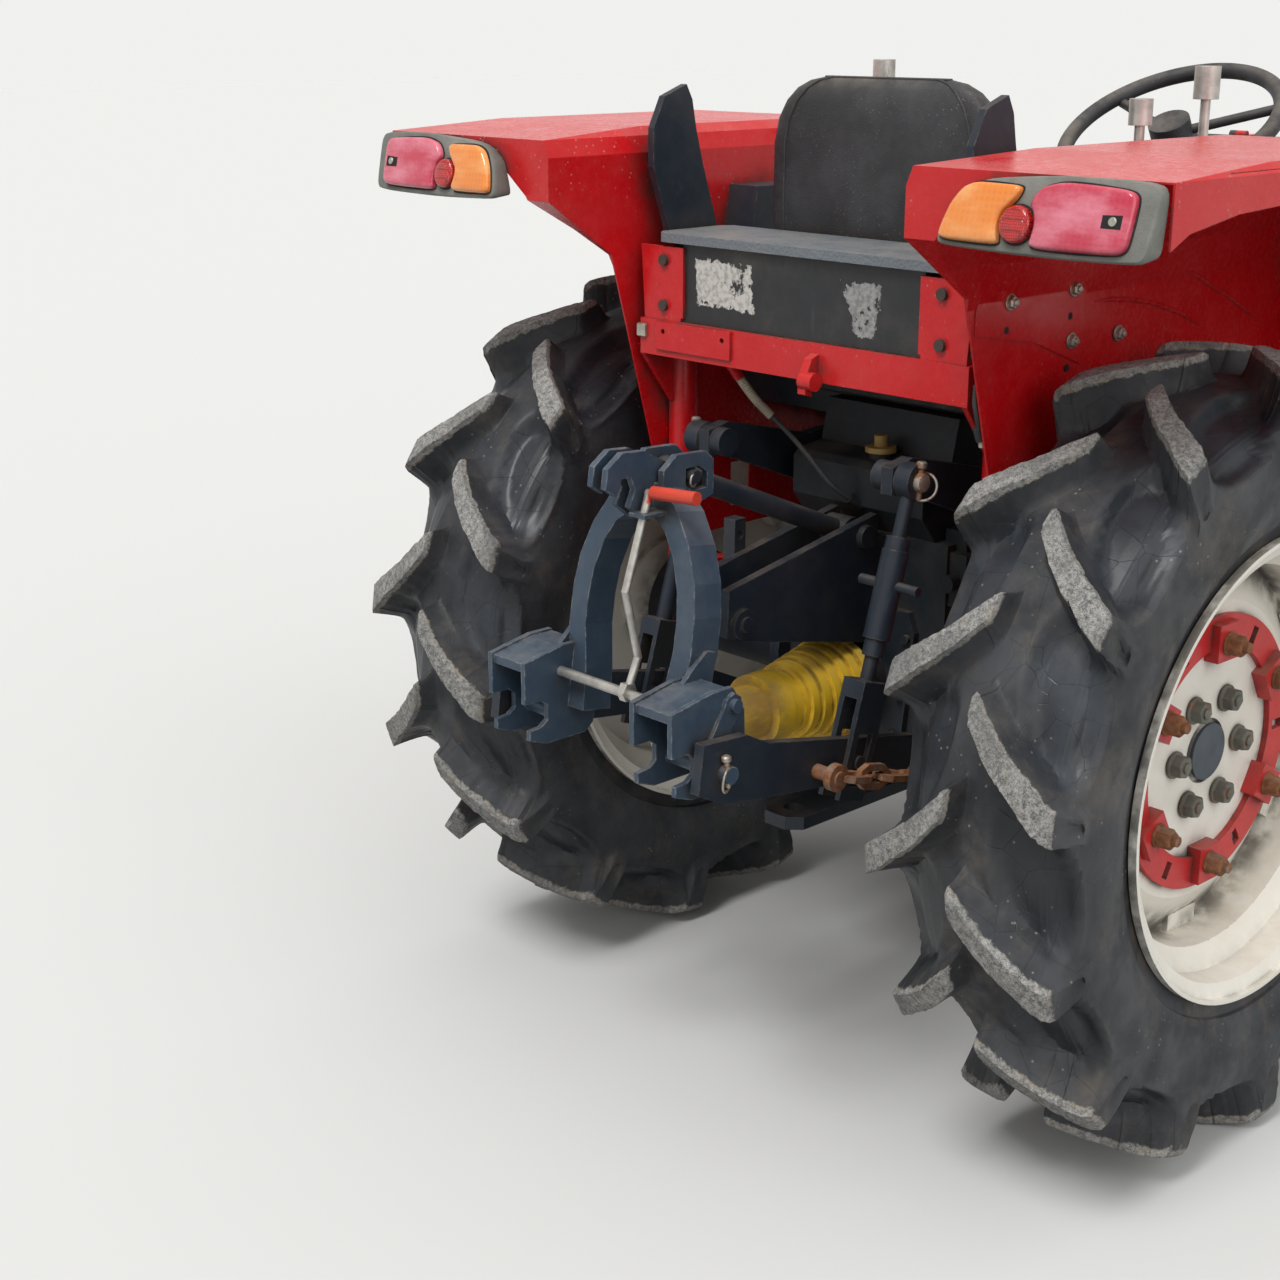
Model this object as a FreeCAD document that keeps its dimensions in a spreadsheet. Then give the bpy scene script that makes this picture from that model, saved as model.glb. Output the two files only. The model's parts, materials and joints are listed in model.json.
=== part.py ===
# Farm tractor, four-wheel drive, with a three-point hitch, a quick coupler and a guarded drive shaft.
#
# Millimetres.  Up is +Z, the tractor faces -Y, its left side is +X.
# The coordinates of every profile are counted from the rear axle (y = 0) and the ground (z = 0).
# One placement moves every piece by the same amount, so that the middle of the whole is at y = 0.
import FreeCAD
import Part
import math
import os
import re
from FreeCAD import Vector, Placement, Rotation
import Sketcher

doc = FreeCAD.newDocument("FarmTractor")

# Driving sizes
SIZES = [
    # whole machine
    ("front_reach", 2212),       # front face of the bumper, ahead of the rear axle
    ("rear_reach", 671),         # tip of the coupler's hooks, behind the rear axle
    ("wheelbase", 1600),
    ("fit", 0.05),               # radial clearance of a pin in its eye
    ("gap", 0.3),                # clearance between pieces that lie on each other
    # rear wheels
    ("rear_tyre_r", 550),
    ("rear_tyre_w", 274),
    ("rear_track_half", 518),
    ("rear_lug_depth", 36),
    ("rear_flange_r", 325),
    ("rear_rim_w", 250),
    ("rear_disc_x", 535),
    ("rear_disc_t", 8),
    ("rear_hub_hole_r", 46),
    ("ring_r", 194),
    ("ring_hole_r", 150),
    ("nut_circle_r", 78),
    ("axle_shaft_r", 31),
    ("housing_r", 66),
    # front wheels
    ("front_tyre_r", 370),
    ("front_tyre_w", 190),
    ("front_track_half", 520),
    ("front_lug_depth", 22),
    ("front_flange_r", 222),
    ("front_rim_w", 150),
    ("front_disc_x", 532),
    ("spindle_r", 22),
    # front axle and steering
    ("kingpin_x", 392),
    ("kingpin_r", 16),
    ("beam_half_y", 40),
    ("beam_half_z", 40),
    ("yoke_half", 82),
    ("yoke_t", 22),
    ("arm_len", 120),
    ("tie_pin_r", 9),
    ("tie_rod_r", 12),
    # engine, frame and gear case
    ("engine_half_w", 150),
    ("engine_bottom", 430),
    ("engine_top", 1050),
    ("engine_front", 2080),
    ("engine_rear", 1180),
    ("rail_t", 22),
    ("case_half_w", 150),
    ("case_bottom", 380),
    ("case_rear", 90),
    # body panels
    ("sheet", 3),
    ("hood_half_w", 235),
    ("hood_front", 2170),
    ("hood_rear", 1066),
    ("hood_skirt_z", 1000),
    ("hood_top_rear", 1290),
    ("hood_top_front", 1205),
    ("cover_bottom", 762),
    ("grille_front", 2195),
    ("floor_z", 620),
    ("floor_half_w", 600),
    ("floor_front", 1040),
    ("fender_in", 325),
    ("fender_out", 690),
    ("fender_top", 1351),
    ("fender_rear", 428),
    ("fender_front", 645),
    ("lip_depth", 49),
    ("fender_low", 717),
    ("lamp_lean", 14),
    # rear frame
    ("beam_y", 232),
    ("post_y", 182),
    ("post_x", 300),
    ("post_r", 22),
    ("beam_t", 34),
    ("beam_low", 1025),
    ("beam_high", 1078),
    ("panel_half_w", 224),
    ("panel_high", 1192),
    ("tray_half_w", 275),
    ("tray_t", 14),
    # seat and controls
    ("seat_half_w", 205),
    ("seat_rear", 108),
    ("seat_top", 1070),
    ("seat_back_top", 1425),
    ("wheel_rim_r", 190),
    ("wheel_y", 640),
    ("wheel_z", 1330),
    ("column_tilt", 30),
    ("column_r", 24),
    # three-point hitch
    ("link_x", 200),
    ("link_t", 16),
    ("link_pin_r", 12),
    ("link_front_y", -40),
    ("link_front_z", 430),
    ("link_rear_y", 602),
    ("link_rear_z", 584),
    ("lift_y", 0),
    ("lift_z", 852),
    ("lift_arm_y", 240),
    ("lift_arm_z", 908),
    ("lift_arm_x", 165),
    ("lift_arm_t", 20),
    ("lift_pin_r", 10),
    ("slot_y", 350),
    ("slot_z", 535),
    ("top_front_y", 150),
    ("top_front_z", 786),
    ("top_rear_y", 492),
    ("top_rear_z", 926),
    ("top_pin_r", 9),
    ("bracket_gap", 30),
    ("cable_r", 4),
    ("gland_r", 8),
    ("bracket_t", 14),
    ("arch_y", 565),
    ("arch_z", 620),
    ("arch_rise", 308),
    ("arch_depth", 50),
    ("arch_half_w", 119),
    ("coupler_lean", 8.5),
    ("hook_x", 143),
    ("hook_half_w", 39),
    ("shaft_y", 150),
    ("shaft_z", 550),
    ("guard_r", 40),
    ("bell_r", 78),
]

sheet = doc.addObject("Spreadsheet::Sheet", "Sizes")
for row, (word, value) in enumerate(SIZES, start=1):
    sheet.set("A%d" % row, word)
    sheet.set("B%d" % row, str(value))
    sheet.setAlias("B%d" % row, word)
doc.recompute()
ALIASES = set(word for word, value in SIZES)


def linked(text):
    """The same formula with each size named as a cell of the sheet."""
    def name(match):
        word = match.group(0)
        return "Sizes." + word if word in ALIASES else word
    return re.sub(r"[a-z][a-z0-9_]*", name, str(text))


def number(text):
    """Present value of a formula or a number."""
    if isinstance(text, (int, float)):
        return float(text)
    value = sheet.evalExpression(str(text))
    return float(getattr(value, "Value", value))


def bind(obj, prop, text):
    """Ties a property of an object to a formula of named sizes."""
    if isinstance(text, (int, float)):
        text = repr(text)
    obj.setExpression(prop, linked(text))


SHIFT = "(front_reach - rear_reach) / 2"


def move(obj, x="0", y="0", z="0"):
    """Places an object by formulas and adds the shift of the whole."""
    bind(obj, ".Placement.Base.x", x)
    bind(obj, ".Placement.Base.y", "(%s) + %s" % (y, SHIFT))
    bind(obj, ".Placement.Base.z", z)


def box(name, x0, x1, y0, y1, z0, z1):
    """Block between two corners."""
    obj = doc.addObject("Part::Box", name)
    bind(obj, "Length", "(%s) - (%s)" % (x1, x0))
    bind(obj, "Width", "(%s) - (%s)" % (y1, y0))
    bind(obj, "Height", "(%s) - (%s)" % (z1, z0))
    move(obj, x0, y0, z0)
    return obj


TURN = {"x": Rotation(Vector(0, 1, 0), 90), "y": Rotation(Vector(1, 0, 0), -90), "z": Rotation()}


def rod(name, axis, r, start, end, a, b):
    """Cylinder along x, y or z from start to end; a and b are its other two coordinates."""
    obj = doc.addObject("Part::Cylinder", name)
    bind(obj, "Radius", r)
    bind(obj, "Height", "(%s) - (%s)" % (end, start))
    obj.Placement = Placement(Vector(), TURN[axis])
    if axis == "x":
        move(obj, start, a, b)
    elif axis == "y":
        move(obj, a, start, b)
    else:
        move(obj, a, b, start)
    return obj


PLANES = {
    "yz": Rotation(Vector(1, 1, 1), 120),
    "xz": Rotation(Vector(1, 0, 0), 90),
    "xy": Rotation(),
}


def outline(name, plane, points):
    """Closed sketch of straight lines; each corner is tied to two formulas."""
    sketch = doc.addObject("Sketcher::SketchObject", name)
    sketch.Placement = Placement(Vector(), PLANES[plane])
    corners = [Vector(number(u), number(v), 0) for u, v in points]
    count = len(corners)
    for i in range(count):
        sketch.addGeometry(Part.LineSegment(corners[i], corners[(i + 1) % count]), False)
    for i in range(count):
        sketch.addConstraint(Sketcher.Constraint("Coincident", i, 2, (i + 1) % count, 1))
    for i, (u, v) in enumerate(points):
        for kind, formula, line in (("DistanceX", u, -2), ("DistanceY", v, -1)):
            if str(formula) == "0":
                sketch.addConstraint(Sketcher.Constraint("PointOnObject", i, 1, line))
                continue
            value = number(formula)
            index = sketch.addConstraint(Sketcher.Constraint(kind, -1, 1, i, 1, value))
            if not isinstance(formula, (int, float)):
                sketch.setExpression("Constraints[%d]" % index, linked(formula))
    return sketch


def leaning(name, points, start, end, lean, y, z):
    """Outline in the plane across the tractor, extruded towards the rear, its top tilted forward.

    The points are counted from the line at y, z about which it leans."""
    sketch = outline(name + "_outline", "xz", points)
    turn = Rotation(Vector(1, 0, 0), lean)
    sketch.Placement = Placement(Vector(), turn * PLANES["xz"])
    normal = turn.multVec(Vector(0, 1, 0))
    obj = doc.addObject("Part::Extrusion", name)
    obj.Base = sketch
    obj.DirMode = "Custom"
    obj.Dir = normal
    obj.Solid = True
    bind(obj, "LengthFwd", end)
    bind(obj, "LengthRev", "-(%s)" % start)
    move(obj, "0", y, z)
    return obj


def plate(name, plane, points, start, end):
    """Straight-sided outline, extruded from start to end along the plane's normal."""
    sketch = outline(name + "_outline", plane, points)
    obj = doc.addObject("Part::Extrusion", name)
    obj.Base = sketch
    obj.DirMode = "Custom"
    obj.Dir = {"yz": Vector(1, 0, 0), "xz": Vector(0, 1, 0), "xy": Vector(0, 0, 1)}[plane]
    obj.Solid = True
    bind(obj, "LengthFwd", "(%s) - (%s)" % (end, start))
    offset = {"yz": (start, "0", "0"), "xz": ("0", start, "0"), "xy": ("0", "0", start)}[plane]
    bind(sketch, ".Placement.Base.x", offset[0])
    bind(sketch, ".Placement.Base.y", offset[1])
    bind(sketch, ".Placement.Base.z", offset[2])
    move(obj)
    return obj


def spun(name, points, y, z):
    """Outline of (x, radius) pairs turned about the x axis through y, z."""
    sketch = outline(name + "_outline", "xy", points)
    obj = doc.addObject("Part::Revolution", name)
    obj.Source = sketch
    obj.Axis = Vector(1, 0, 0)
    obj.Base = Vector(0, 0, 0)
    obj.Angle = 360
    obj.Solid = True
    move(obj, "0", y, z)
    return obj


def join(name, parts):
    """One shape from several."""
    if len(parts) == 1:
        parts[0].Label = name
        return parts[0]
    obj = doc.addObject("Part::MultiFuse", name)
    obj.Shapes = parts
    obj.Refine = True
    return obj


def cut(name, base, tools):
    """A shape less several others."""
    tool = tools[0]
    if len(tools) > 1:
        tool = doc.addObject("Part::MultiFuse", name + "_tools")
        tool.Shapes = tools
    obj = doc.addObject("Part::Cut", name)
    obj.Base = base
    obj.Tool = tool
    return obj


def around_x(name, source, count, y, z, start=0):
    """Copies of a piece, evenly spaced about the x axis through y, z."""
    copies = []
    for i in range(count):
        link = doc.addObject("Part::Feature", "%s_%d" % (name, i))
        shape = source.Shape.copy()
        shape.rotate(Vector(0, number("(%s) + %s" % (y, SHIFT)), number(z)), Vector(1, 0, 0),
                     start + i * 360.0 / count)
        link.Shape = shape
        copies.append(link)
    return copies


def mirrored(name, source):
    """The same piece on the other side of the tractor."""
    obj = doc.addObject("Part::Mirroring", name)
    obj.Source = source
    obj.Base = Vector(0, 0, 0)
    obj.Normal = Vector(1, 0, 0)
    return obj


def both(name, source):
    """A piece and its mirror image, which don't touch."""
    obj = doc.addObject("Part::Compound", name)
    obj.Links = [source, mirrored(name + "_other", source)]
    return obj


def solid(name, shape, x="0", y="0", z="0"):
    """A shape that comes from calculated curves, placed with the others."""
    obj = doc.addObject("Part::Feature", name)
    obj.Shape = shape
    move(obj, x, y, z)
    return obj


def size(word):
    """Number of a named size."""
    return number(word)


NODES = []


def piece(obj, label):
    """Names a finished piece and lists it for the export."""
    obj.Label = label
    NODES.append(obj)
    return obj


# Rear and front tyres
def tyre(name, radius, width, track, lug_depth, flange_r, rim_w, pitch, shape):
    """Carcass with two rows of bars; shape rows are (start x share, end x share, lead, half width)."""
    tread_r = radius - lug_depth
    seat_r = flange_r - 20
    half = width / 2
    bead = rim_w / 2 - 17
    profile = [
        (-bead, seat_r + 0.3), (-bead - 6, seat_r + 40), (-half + 6, seat_r + 90),
        (-half + 2, radius - 110), (-half + 12, radius - 62), (-half + 40, tread_r - 8), (0, tread_r),
        (half - 40, tread_r - 8), (half - 12, radius - 62), (half - 2, radius - 110),
        (half - 6, seat_r + 90), (bead + 6, seat_r + 40), (bead, seat_r + 0.3),
    ]
    if radius < 450:
        profile = [
            (-bead, seat_r + 0.3), (-bead - 4, seat_r + 22), (-half + 4, seat_r + 55),
            (-half + 4, radius - 62), (-half + 22, tread_r - 6), (0, tread_r),
            (half - 22, tread_r - 6), (half - 4, radius - 62),
            (half - 4, seat_r + 55), (bead + 4, seat_r + 22), (bead, seat_r + 0.3),
        ]
    points = [Vector(track + x, 0, r) for x, r in profile]
    face = Part.Face(Part.makePolygon(points + points[:1]))
    carcass = face.revolve(Vector(0, 0, 0), Vector(1, 0, 0), 360)
    envelope_points = [
        (-half, tread_r - 60), (-half, radius - 46), (-half + 26, radius - 8), (0, radius),
        (half - 26, radius - 8), (half, radius - 46), (half, tread_r - 60),
    ]
    points = [Vector(track + x, 0, r) for x, r in envelope_points]
    envelope = Part.Face(Part.makePolygon(points + points[:1])).revolve(
        Vector(0, 0, 0), Vector(1, 0, 0), 360)
    bars = []
    for side in (1, -1):
        for k, (x_a, x_b, lead_a, lead_b, w_a, w_b) in enumerate(shape):
            foot = []
            for x, lead, w in ((x_a, lead_a, -w_a), (x_b, lead_b, -w_b), (x_b, lead_b, w_b),
                               (x_a, lead_a, w_a)):
                foot.append(Vector(track + side * x * half, lead + w, tread_r - 45))
            middle = (lead_a + lead_b) / 2
            turn = math.degrees(middle / radius)
            flat = [Vector(p.x, p.y - middle, p.z) for p in foot]
            prism = Part.Face(Part.makePolygon(flat + flat[:1])).extrude(Vector(0, 0, lug_depth + 60))
            prism.rotate(Vector(0, 0, 0), Vector(1, 0, 0), -turn)
            bars.append((side, prism))
    lugs = []
    for side in (1, -1):
        mine = [p for s, p in bars if s == side]
        lug = mine[0].fuse(mine[1:]).common(envelope)
        for i in range(pitch):
            copy = lug.copy()
            copy.rotate(Vector(0, 0, 0), Vector(1, 0, 0), (i + (0.5 if side < 0 else 0)) * 360.0 / pitch)
            lugs.append(copy)
    whole = carcass.fuse(lugs)
    return whole.removeSplitter()


CABLE_ROUTE = [Vector(*point) for point in (
    (5, 129, 831), (17, 147, 845), (34, 157, 866), (61, 163, 894), (90, 174, 924), (114, 190, 950),
    (130.5, 211, 978.5),
    (134, 232, 1006),
)]
REAR_BARS = [(0.01, 0.42, -78, -6, 20, 21), (0.34, 1.02, -16, 58, 19, 25)]
FRONT_BARS = [(0.01, 0.45, -48, -4, 13, 13), (0.36, 1.02, -10, 36, 12, 16)]


def tyre_pair(word, track, radius, width, lug_depth, flange_r, rim_w, pitch, shape, y):
    """Left tyre on its axle, and its mirror image."""
    whole = tyre(word, radius, width, track, lug_depth, flange_r, rim_w, pitch, shape)
    left = piece(solid(word + "_left_form", whole, "0", y, word + "_r"), word + "_left")
    right = piece(mirrored(word + "_right_form", left), word + "_right")
    return left, right


tyre_pair("rear_tyre", size("rear_track_half"), size("rear_tyre_r"), size("rear_tyre_w"),
          size("rear_lug_depth"), size("rear_flange_r"), size("rear_rim_w"), 14, REAR_BARS, "0")
tyre_pair("front_tyre", size("front_track_half"), size("front_tyre_r"), size("front_tyre_w"),
          size("front_lug_depth"), size("front_flange_r"), size("front_rim_w"), 16, FRONT_BARS,
          "-wheelbase")

# Wheels
rear_in = "rear_track_half - rear_rim_w / 2"
rear_out = "rear_track_half + rear_rim_w / 2"
rim = spun("rear_rim_ring", [
    (rear_in, "rear_flange_r"), (rear_in, "rear_flange_r - 6"),
    (rear_in + " + 8", "rear_flange_r - 6"), (rear_in + " + 14", "rear_flange_r - 26"),
    (rear_in + " + 52", "rear_flange_r - 28"), (rear_in + " + 70", "rear_flange_r - 58"),
    (rear_out + " - 70", "rear_flange_r - 58"), (rear_out + " - 52", "rear_flange_r - 28"),
    (rear_out + " - 14", "rear_flange_r - 26"), (rear_out + " - 8", "rear_flange_r - 6"),
    (rear_out, "rear_flange_r - 6"), (rear_out, "rear_flange_r"),
    (rear_out + " - 12", "rear_flange_r"), (rear_out + " - 16", "rear_flange_r - 20"),
    (rear_out + " - 56", "rear_flange_r - 22"), (rear_out + " - 74", "rear_flange_r - 52"),
    (rear_in + " + 74", "rear_flange_r - 52"), (rear_in + " + 56", "rear_flange_r - 22"),
    (rear_in + " + 16", "rear_flange_r - 20"), (rear_in + " + 12", "rear_flange_r"),
], "0", "rear_tyre_r")
disc = spun("rear_disc", [
    ("rear_disc_x - rear_disc_t", "rear_hub_hole_r"), ("rear_disc_x", "rear_hub_hole_r"),
    ("rear_disc_x", "ring_r + 16"), ("rear_disc_x - 30", "rear_flange_r - 55"),
    ("rear_disc_x - 30 - rear_disc_t", "rear_flange_r - 55"), ("rear_disc_x - rear_disc_t", "ring_r + 10"),
], "0", "rear_tyre_r")
hub = spun("rear_hub", [
    ("405", "0"), ("405", "axle_shaft_r"), ("472", "axle_shaft_r"), ("472", "60"),
    ("500", "60"), ("rear_disc_x - rear_disc_t - 12", "100"), ("rear_disc_x - rear_disc_t", "100"),
    ("rear_disc_x - rear_disc_t", "rear_hub_hole_r - 6"), ("rear_disc_x + 6", "rear_hub_hole_r - 6"),
    ("rear_disc_x + 6", "0"),
], "0", "rear_tyre_r")
doc.recompute()
nut = rod("wheel_nut", "x", "13", "rear_disc_x - 2", "rear_disc_x + 17", "0", "rear_tyre_r + nut_circle_r")
doc.recompute()
nuts = around_x("wheel_nut", nut, 6, "0", "rear_tyre_r", 30)
lug_block = box("rim_bracket", "rear_disc_x - 52", "rear_disc_x - 14", "-34", "34",
                "rear_tyre_r + rear_flange_r - 84", "rear_tyre_r + rear_flange_r - 54")
doc.recompute()
brackets = around_x("rim_bracket", lug_block, 6, "0", "rear_tyre_r", 0)
left = piece(join("rear_rim_left_form", [rim, disc, hub] + nuts + brackets), "rear_rim_left")
piece(mirrored("rear_rim_right_form", left), "rear_rim_right")
ring = spun("rear_ring", [
    ("rear_disc_x + gap", "ring_hole_r"), ("rear_disc_x + 9", "ring_hole_r"),
    ("rear_disc_x + 9", "ring_r"), ("rear_disc_x + gap", "ring_r"),
], "0", "rear_tyre_r")
clamp = plate("ring_clamp", "yz", [
    ("-24", "rear_tyre_r + ring_hole_r - 16"), ("24", "rear_tyre_r + ring_hole_r - 16"),
    ("24", "rear_tyre_r + ring_r - 8"), ("-24", "rear_tyre_r + ring_r - 8"),
], "rear_disc_x + gap", "rear_disc_x + 22")
clamp_bolt = rod("ring_bolt", "x", "11", "rear_disc_x + 8", "rear_disc_x + 44", "0",
                 "rear_tyre_r + ring_hole_r + 8")
clamp = join("ring_clamp_set", [clamp, clamp_bolt])
ring_slot = plate("ring_slot", "yz", [
    ("-7", "rear_tyre_r + ring_hole_r + 10"), ("7", "rear_tyre_r + ring_hole_r + 10"),
    ("7", "rear_tyre_r + ring_r - 10"), ("-7", "rear_tyre_r + ring_r - 10"),
], "rear_disc_x - 5", "rear_disc_x + 15")
doc.recompute()
clamps = around_x("ring_clamp", clamp, 6, "0", "rear_tyre_r", 0)
ring_slots = around_x("ring_slot", ring_slot, 6, "0", "rear_tyre_r", 30)
left = piece(cut("rear_ring_left_form", join("rear_ring_set", [ring] + clamps), ring_slots),
             "rear_ring_left")
piece(mirrored("rear_ring_right_form", left), "rear_ring_right")

front_in = "front_track_half - front_rim_w / 2"
front_out = "front_track_half + front_rim_w / 2"
rim = spun("front_rim_ring", [
    (front_in, "front_flange_r"), (front_in, "front_flange_r - 5"),
    (front_in + " + 6", "front_flange_r - 5"), (front_in + " + 10", "front_flange_r - 25"),
    (front_in + " + 34", "front_flange_r - 26"), (front_in + " + 44", "front_flange_r - 42"),
    (front_out + " - 44", "front_flange_r - 42"), (front_out + " - 34", "front_flange_r - 26"),
    (front_out + " - 10", "front_flange_r - 25"), (front_out + " - 6", "front_flange_r - 5"),
    (front_out, "front_flange_r - 5"), (front_out, "front_flange_r"),
    (front_out + " - 9", "front_flange_r"), (front_out + " - 13", "front_flange_r - 20"),
    (front_out + " - 38", "front_flange_r - 21"), (front_out + " - 48", "front_flange_r - 37"),
    (front_in + " + 48", "front_flange_r - 37"), (front_in + " + 38", "front_flange_r - 21"),
    (front_in + " + 13", "front_flange_r - 20"), (front_in + " + 9", "front_flange_r"),
], "-wheelbase", "front_tyre_r")
disc = spun("front_disc", [
    ("front_disc_x - 34", "spindle_r + fit"), ("front_disc_x + 14", "spindle_r + fit"),
    ("front_disc_x + 14", "52"), ("front_disc_x", "60"), ("front_disc_x", "110"),
    ("front_disc_x - 14", "front_flange_r - 38"), ("front_disc_x - 21", "front_flange_r - 38"),
    ("front_disc_x - 7", "106"), ("front_disc_x - 7", "66"), ("front_disc_x - 34", "60"),
], "-wheelbase", "front_tyre_r")
left = piece(join("front_rim_left_form", [rim, disc]), "front_rim_left")
piece(mirrored("front_rim_right_form", left), "front_rim_right")

# Front axle, knuckles and tie rod
axle_y = "-wheelbase"
axle_z = "front_tyre_r"
yoke_in = "kingpin_x - 100"
yoke_out = "kingpin_x + 30"
beam = box("axle_beam", "-(%s)" % yoke_in, yoke_in, "%s - beam_half_y" % axle_y,
           "%s + beam_half_y" % axle_y,
           "%s - beam_half_z" % axle_z, "%s + beam_half_z" % axle_z)
boss = rod("axle_boss", "y", "54", "%s - beam_half_y" % axle_y, "%s + beam_half_y" % axle_y, "0", axle_z)
web = box("yoke_web", yoke_in, "%s + 22" % yoke_in, "%s - 32" % axle_y, "%s + 32" % axle_y,
          "%s - yoke_half - yoke_t" % axle_z, "%s + yoke_half + yoke_t" % axle_z)
ear_a = box("yoke_ear_top", yoke_in, yoke_out, "%s - 32" % axle_y, "%s + 32" % axle_y,
            "%s + yoke_half" % axle_z, "%s + yoke_half + yoke_t" % axle_z)
ear_b = box("yoke_ear_low", yoke_in, yoke_out, "%s - 32" % axle_y, "%s + 32" % axle_y,
            "%s - yoke_half - yoke_t" % axle_z, "%s - yoke_half" % axle_z)
yoke = join("yoke_left", [web, ear_a, ear_b])
kingpin_hole = rod("kingpin_hole", "z", "kingpin_r + fit", "%s - 150" % axle_z, "%s + 150" % axle_z,
                   "kingpin_x", axle_y)
yoke = cut("yoke_left_bored", yoke, [kingpin_hole])
pivot_hole = rod("axle_pivot_hole", "y", "20 + fit", "%s - 60" % axle_y, "%s + 60" % axle_y, "0", axle_z)
beam = cut("axle_beam_bored", join("axle_beam_boss", [beam, boss]), [pivot_hole])
piece(join("front_axle_form", [beam, yoke, mirrored("yoke_right", yoke)]), "front_axle")

knuckle_body = rod("knuckle_body", "z", "46", "%s - yoke_half + gap" % axle_z,
                   "%s + yoke_half - gap" % axle_z, "kingpin_x", axle_y)
knuckle_pin = rod("knuckle_pin", "z", "kingpin_r", "%s - yoke_half - yoke_t - 6" % axle_z,
                  "%s + yoke_half + yoke_t + 6" % axle_z, "kingpin_x", axle_y)
knuckle_neck = rod("knuckle_neck", "x", "44", "kingpin_x", "front_disc_x - 36", axle_y, axle_z)
knuckle_spindle = rod("knuckle_spindle", "x", "spindle_r", "kingpin_x", "front_disc_x + 20", axle_y, axle_z)
arm = plate("steering_arm", "xy", [
    ("kingpin_x - 20", "%s + 20" % axle_y), ("kingpin_x + 20", "%s + 20" % axle_y),
    ("kingpin_x + 20", "%s + arm_len + 12" % axle_y),
    ("kingpin_x + 8", "%s + arm_len + 20" % axle_y),
    ("kingpin_x - 8", "%s + arm_len + 20" % axle_y),
    ("kingpin_x - 20", "%s + arm_len + 12" % axle_y),
], "%s + 18" % axle_z, "%s + 34" % axle_z)
arm_pin = rod("steering_arm_pin", "z", "tie_pin_r", "%s - 18" % axle_z, "%s + 30" % axle_z,
              "kingpin_x", "%s + arm_len" % axle_y)
knuckle = join("knuckle_left_form",
               [knuckle_body, knuckle_pin, knuckle_neck, knuckle_spindle, arm, arm_pin])
left = piece(knuckle, "knuckle_left")
piece(mirrored("knuckle_right_form", left), "knuckle_right")

tie_x = "kingpin_x"
tie_y = "%s + arm_len" % axle_y
tie_bar = rod("tie_bar", "x", "tie_rod_r", "-(%s)" % tie_x, tie_x, tie_y, axle_z)
tie_eye = rod("tie_eye", "z", "18", "%s - 14" % axle_z, "%s + 14" % axle_z, tie_x, tie_y)
tie_hole = rod("tie_hole", "z", "tie_pin_r + fit", "%s - 30" % axle_z, "%s + 30" % axle_z, tie_x, tie_y)
tie_all = join("tie_rod_solid", [tie_bar, tie_eye, mirrored("tie_eye_other", tie_eye)])
piece(cut("tie_rod_form", tie_all, [tie_hole, mirrored("tie_hole_other", tie_hole)]), "tie_rod")

# Engine, front frame and gear case
block = plate("engine_form", "xz", [
    ("-100", "engine_bottom"), ("100", "engine_bottom"), ("engine_half_w", "engine_bottom + 90"),
    ("engine_half_w", "engine_top - 90"), ("90", "engine_top"), ("-90", "engine_top"),
    ("-engine_half_w", "engine_top - 90"), ("-engine_half_w", "engine_bottom + 90"),
], "-engine_front", "-engine_rear")
piece(block, "engine_block")

rail = box("rail", "engine_half_w + gap", "engine_half_w + rail_t", "-engine_front - 100",
           "-engine_rear - 40", "540", "650")
bumper = box("bumper", "-engine_half_w - rail_t - 30", "engine_half_w + rail_t + 30", "-front_reach",
             "-front_reach + 16", "510", "700")
nose_a = box("nose_plate", "engine_half_w - 4", "engine_half_w + rail_t + 4", "-front_reach + 8",
             "-hood_front + 20", "520", "690")
pan = box("nose_floor", "-engine_half_w - 8", "engine_half_w + 8", "-front_reach + 8", "-engine_front - 24",
          "526", "544")
hang_a = box("axle_hanger_front", "-58", "58", "%s - beam_half_y - 16" % axle_y,
             "%s - beam_half_y - 1" % axle_y,
             "%s - 40" % axle_z, "engine_bottom")
hang_b = box("axle_hanger_rear", "-58", "58", "%s + beam_half_y + 1" % axle_y,
             "%s + beam_half_y + 16" % axle_y,
             "%s - 40" % axle_z, "engine_bottom")
pivot = rod("axle_pivot", "y", "20", "%s - beam_half_y - 10" % axle_y, "%s + beam_half_y + 10" % axle_y,
            "0", axle_z)
frame_parts = [rail, mirrored("rail_other", rail), bumper, nose_a, mirrored("nose_other", nose_a), pan]
piece(join("front_frame_form", frame_parts), "front_frame")
piece(join("axle_hanger_form", [hang_a, hang_b, pivot]), "axle_hanger")

case_low = plate("case_low", "yz", [
    ("-engine_rear", "engine_bottom + 10"), ("-engine_rear", "900"), ("-846", "900"), ("-780", "800"),
    ("-250", "780"), ("case_rear", "780"), ("case_rear", "case_bottom + 30"), ("20", "case_bottom"),
    ("-260", "case_bottom"), ("-420", "engine_bottom + 10"),
], "-case_half_w", "case_half_w")
case_top = plate("case_top", "yz", [
    ("-240", "770"), ("-200", "955"), ("44", "955"), ("58", "892"), ("110", "886"), ("120", "876"),
    ("120", "820"),
    ("case_rear - 10", "770"),
], "-case_half_w + 25", "case_half_w - 25")
stub = rod("shaft_stub", "y", "22", "case_rear - 10", "shaft_y - 16 - gap", "0", "shaft_z")
filler_neck = rod("filler_neck", "z", "17", "880", "898", "-14", "84")
filler_cap = rod("filler_cap", "z", "23", "897", "905", "-14", "84")
filler_knob = rod("filler_knob", "z", "10", "904", "922", "-14", "84")
seam = box("case_seam", "-case_half_w - 5", "case_half_w + 5", "-290", "-266", "case_bottom - 4", "792")
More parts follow.
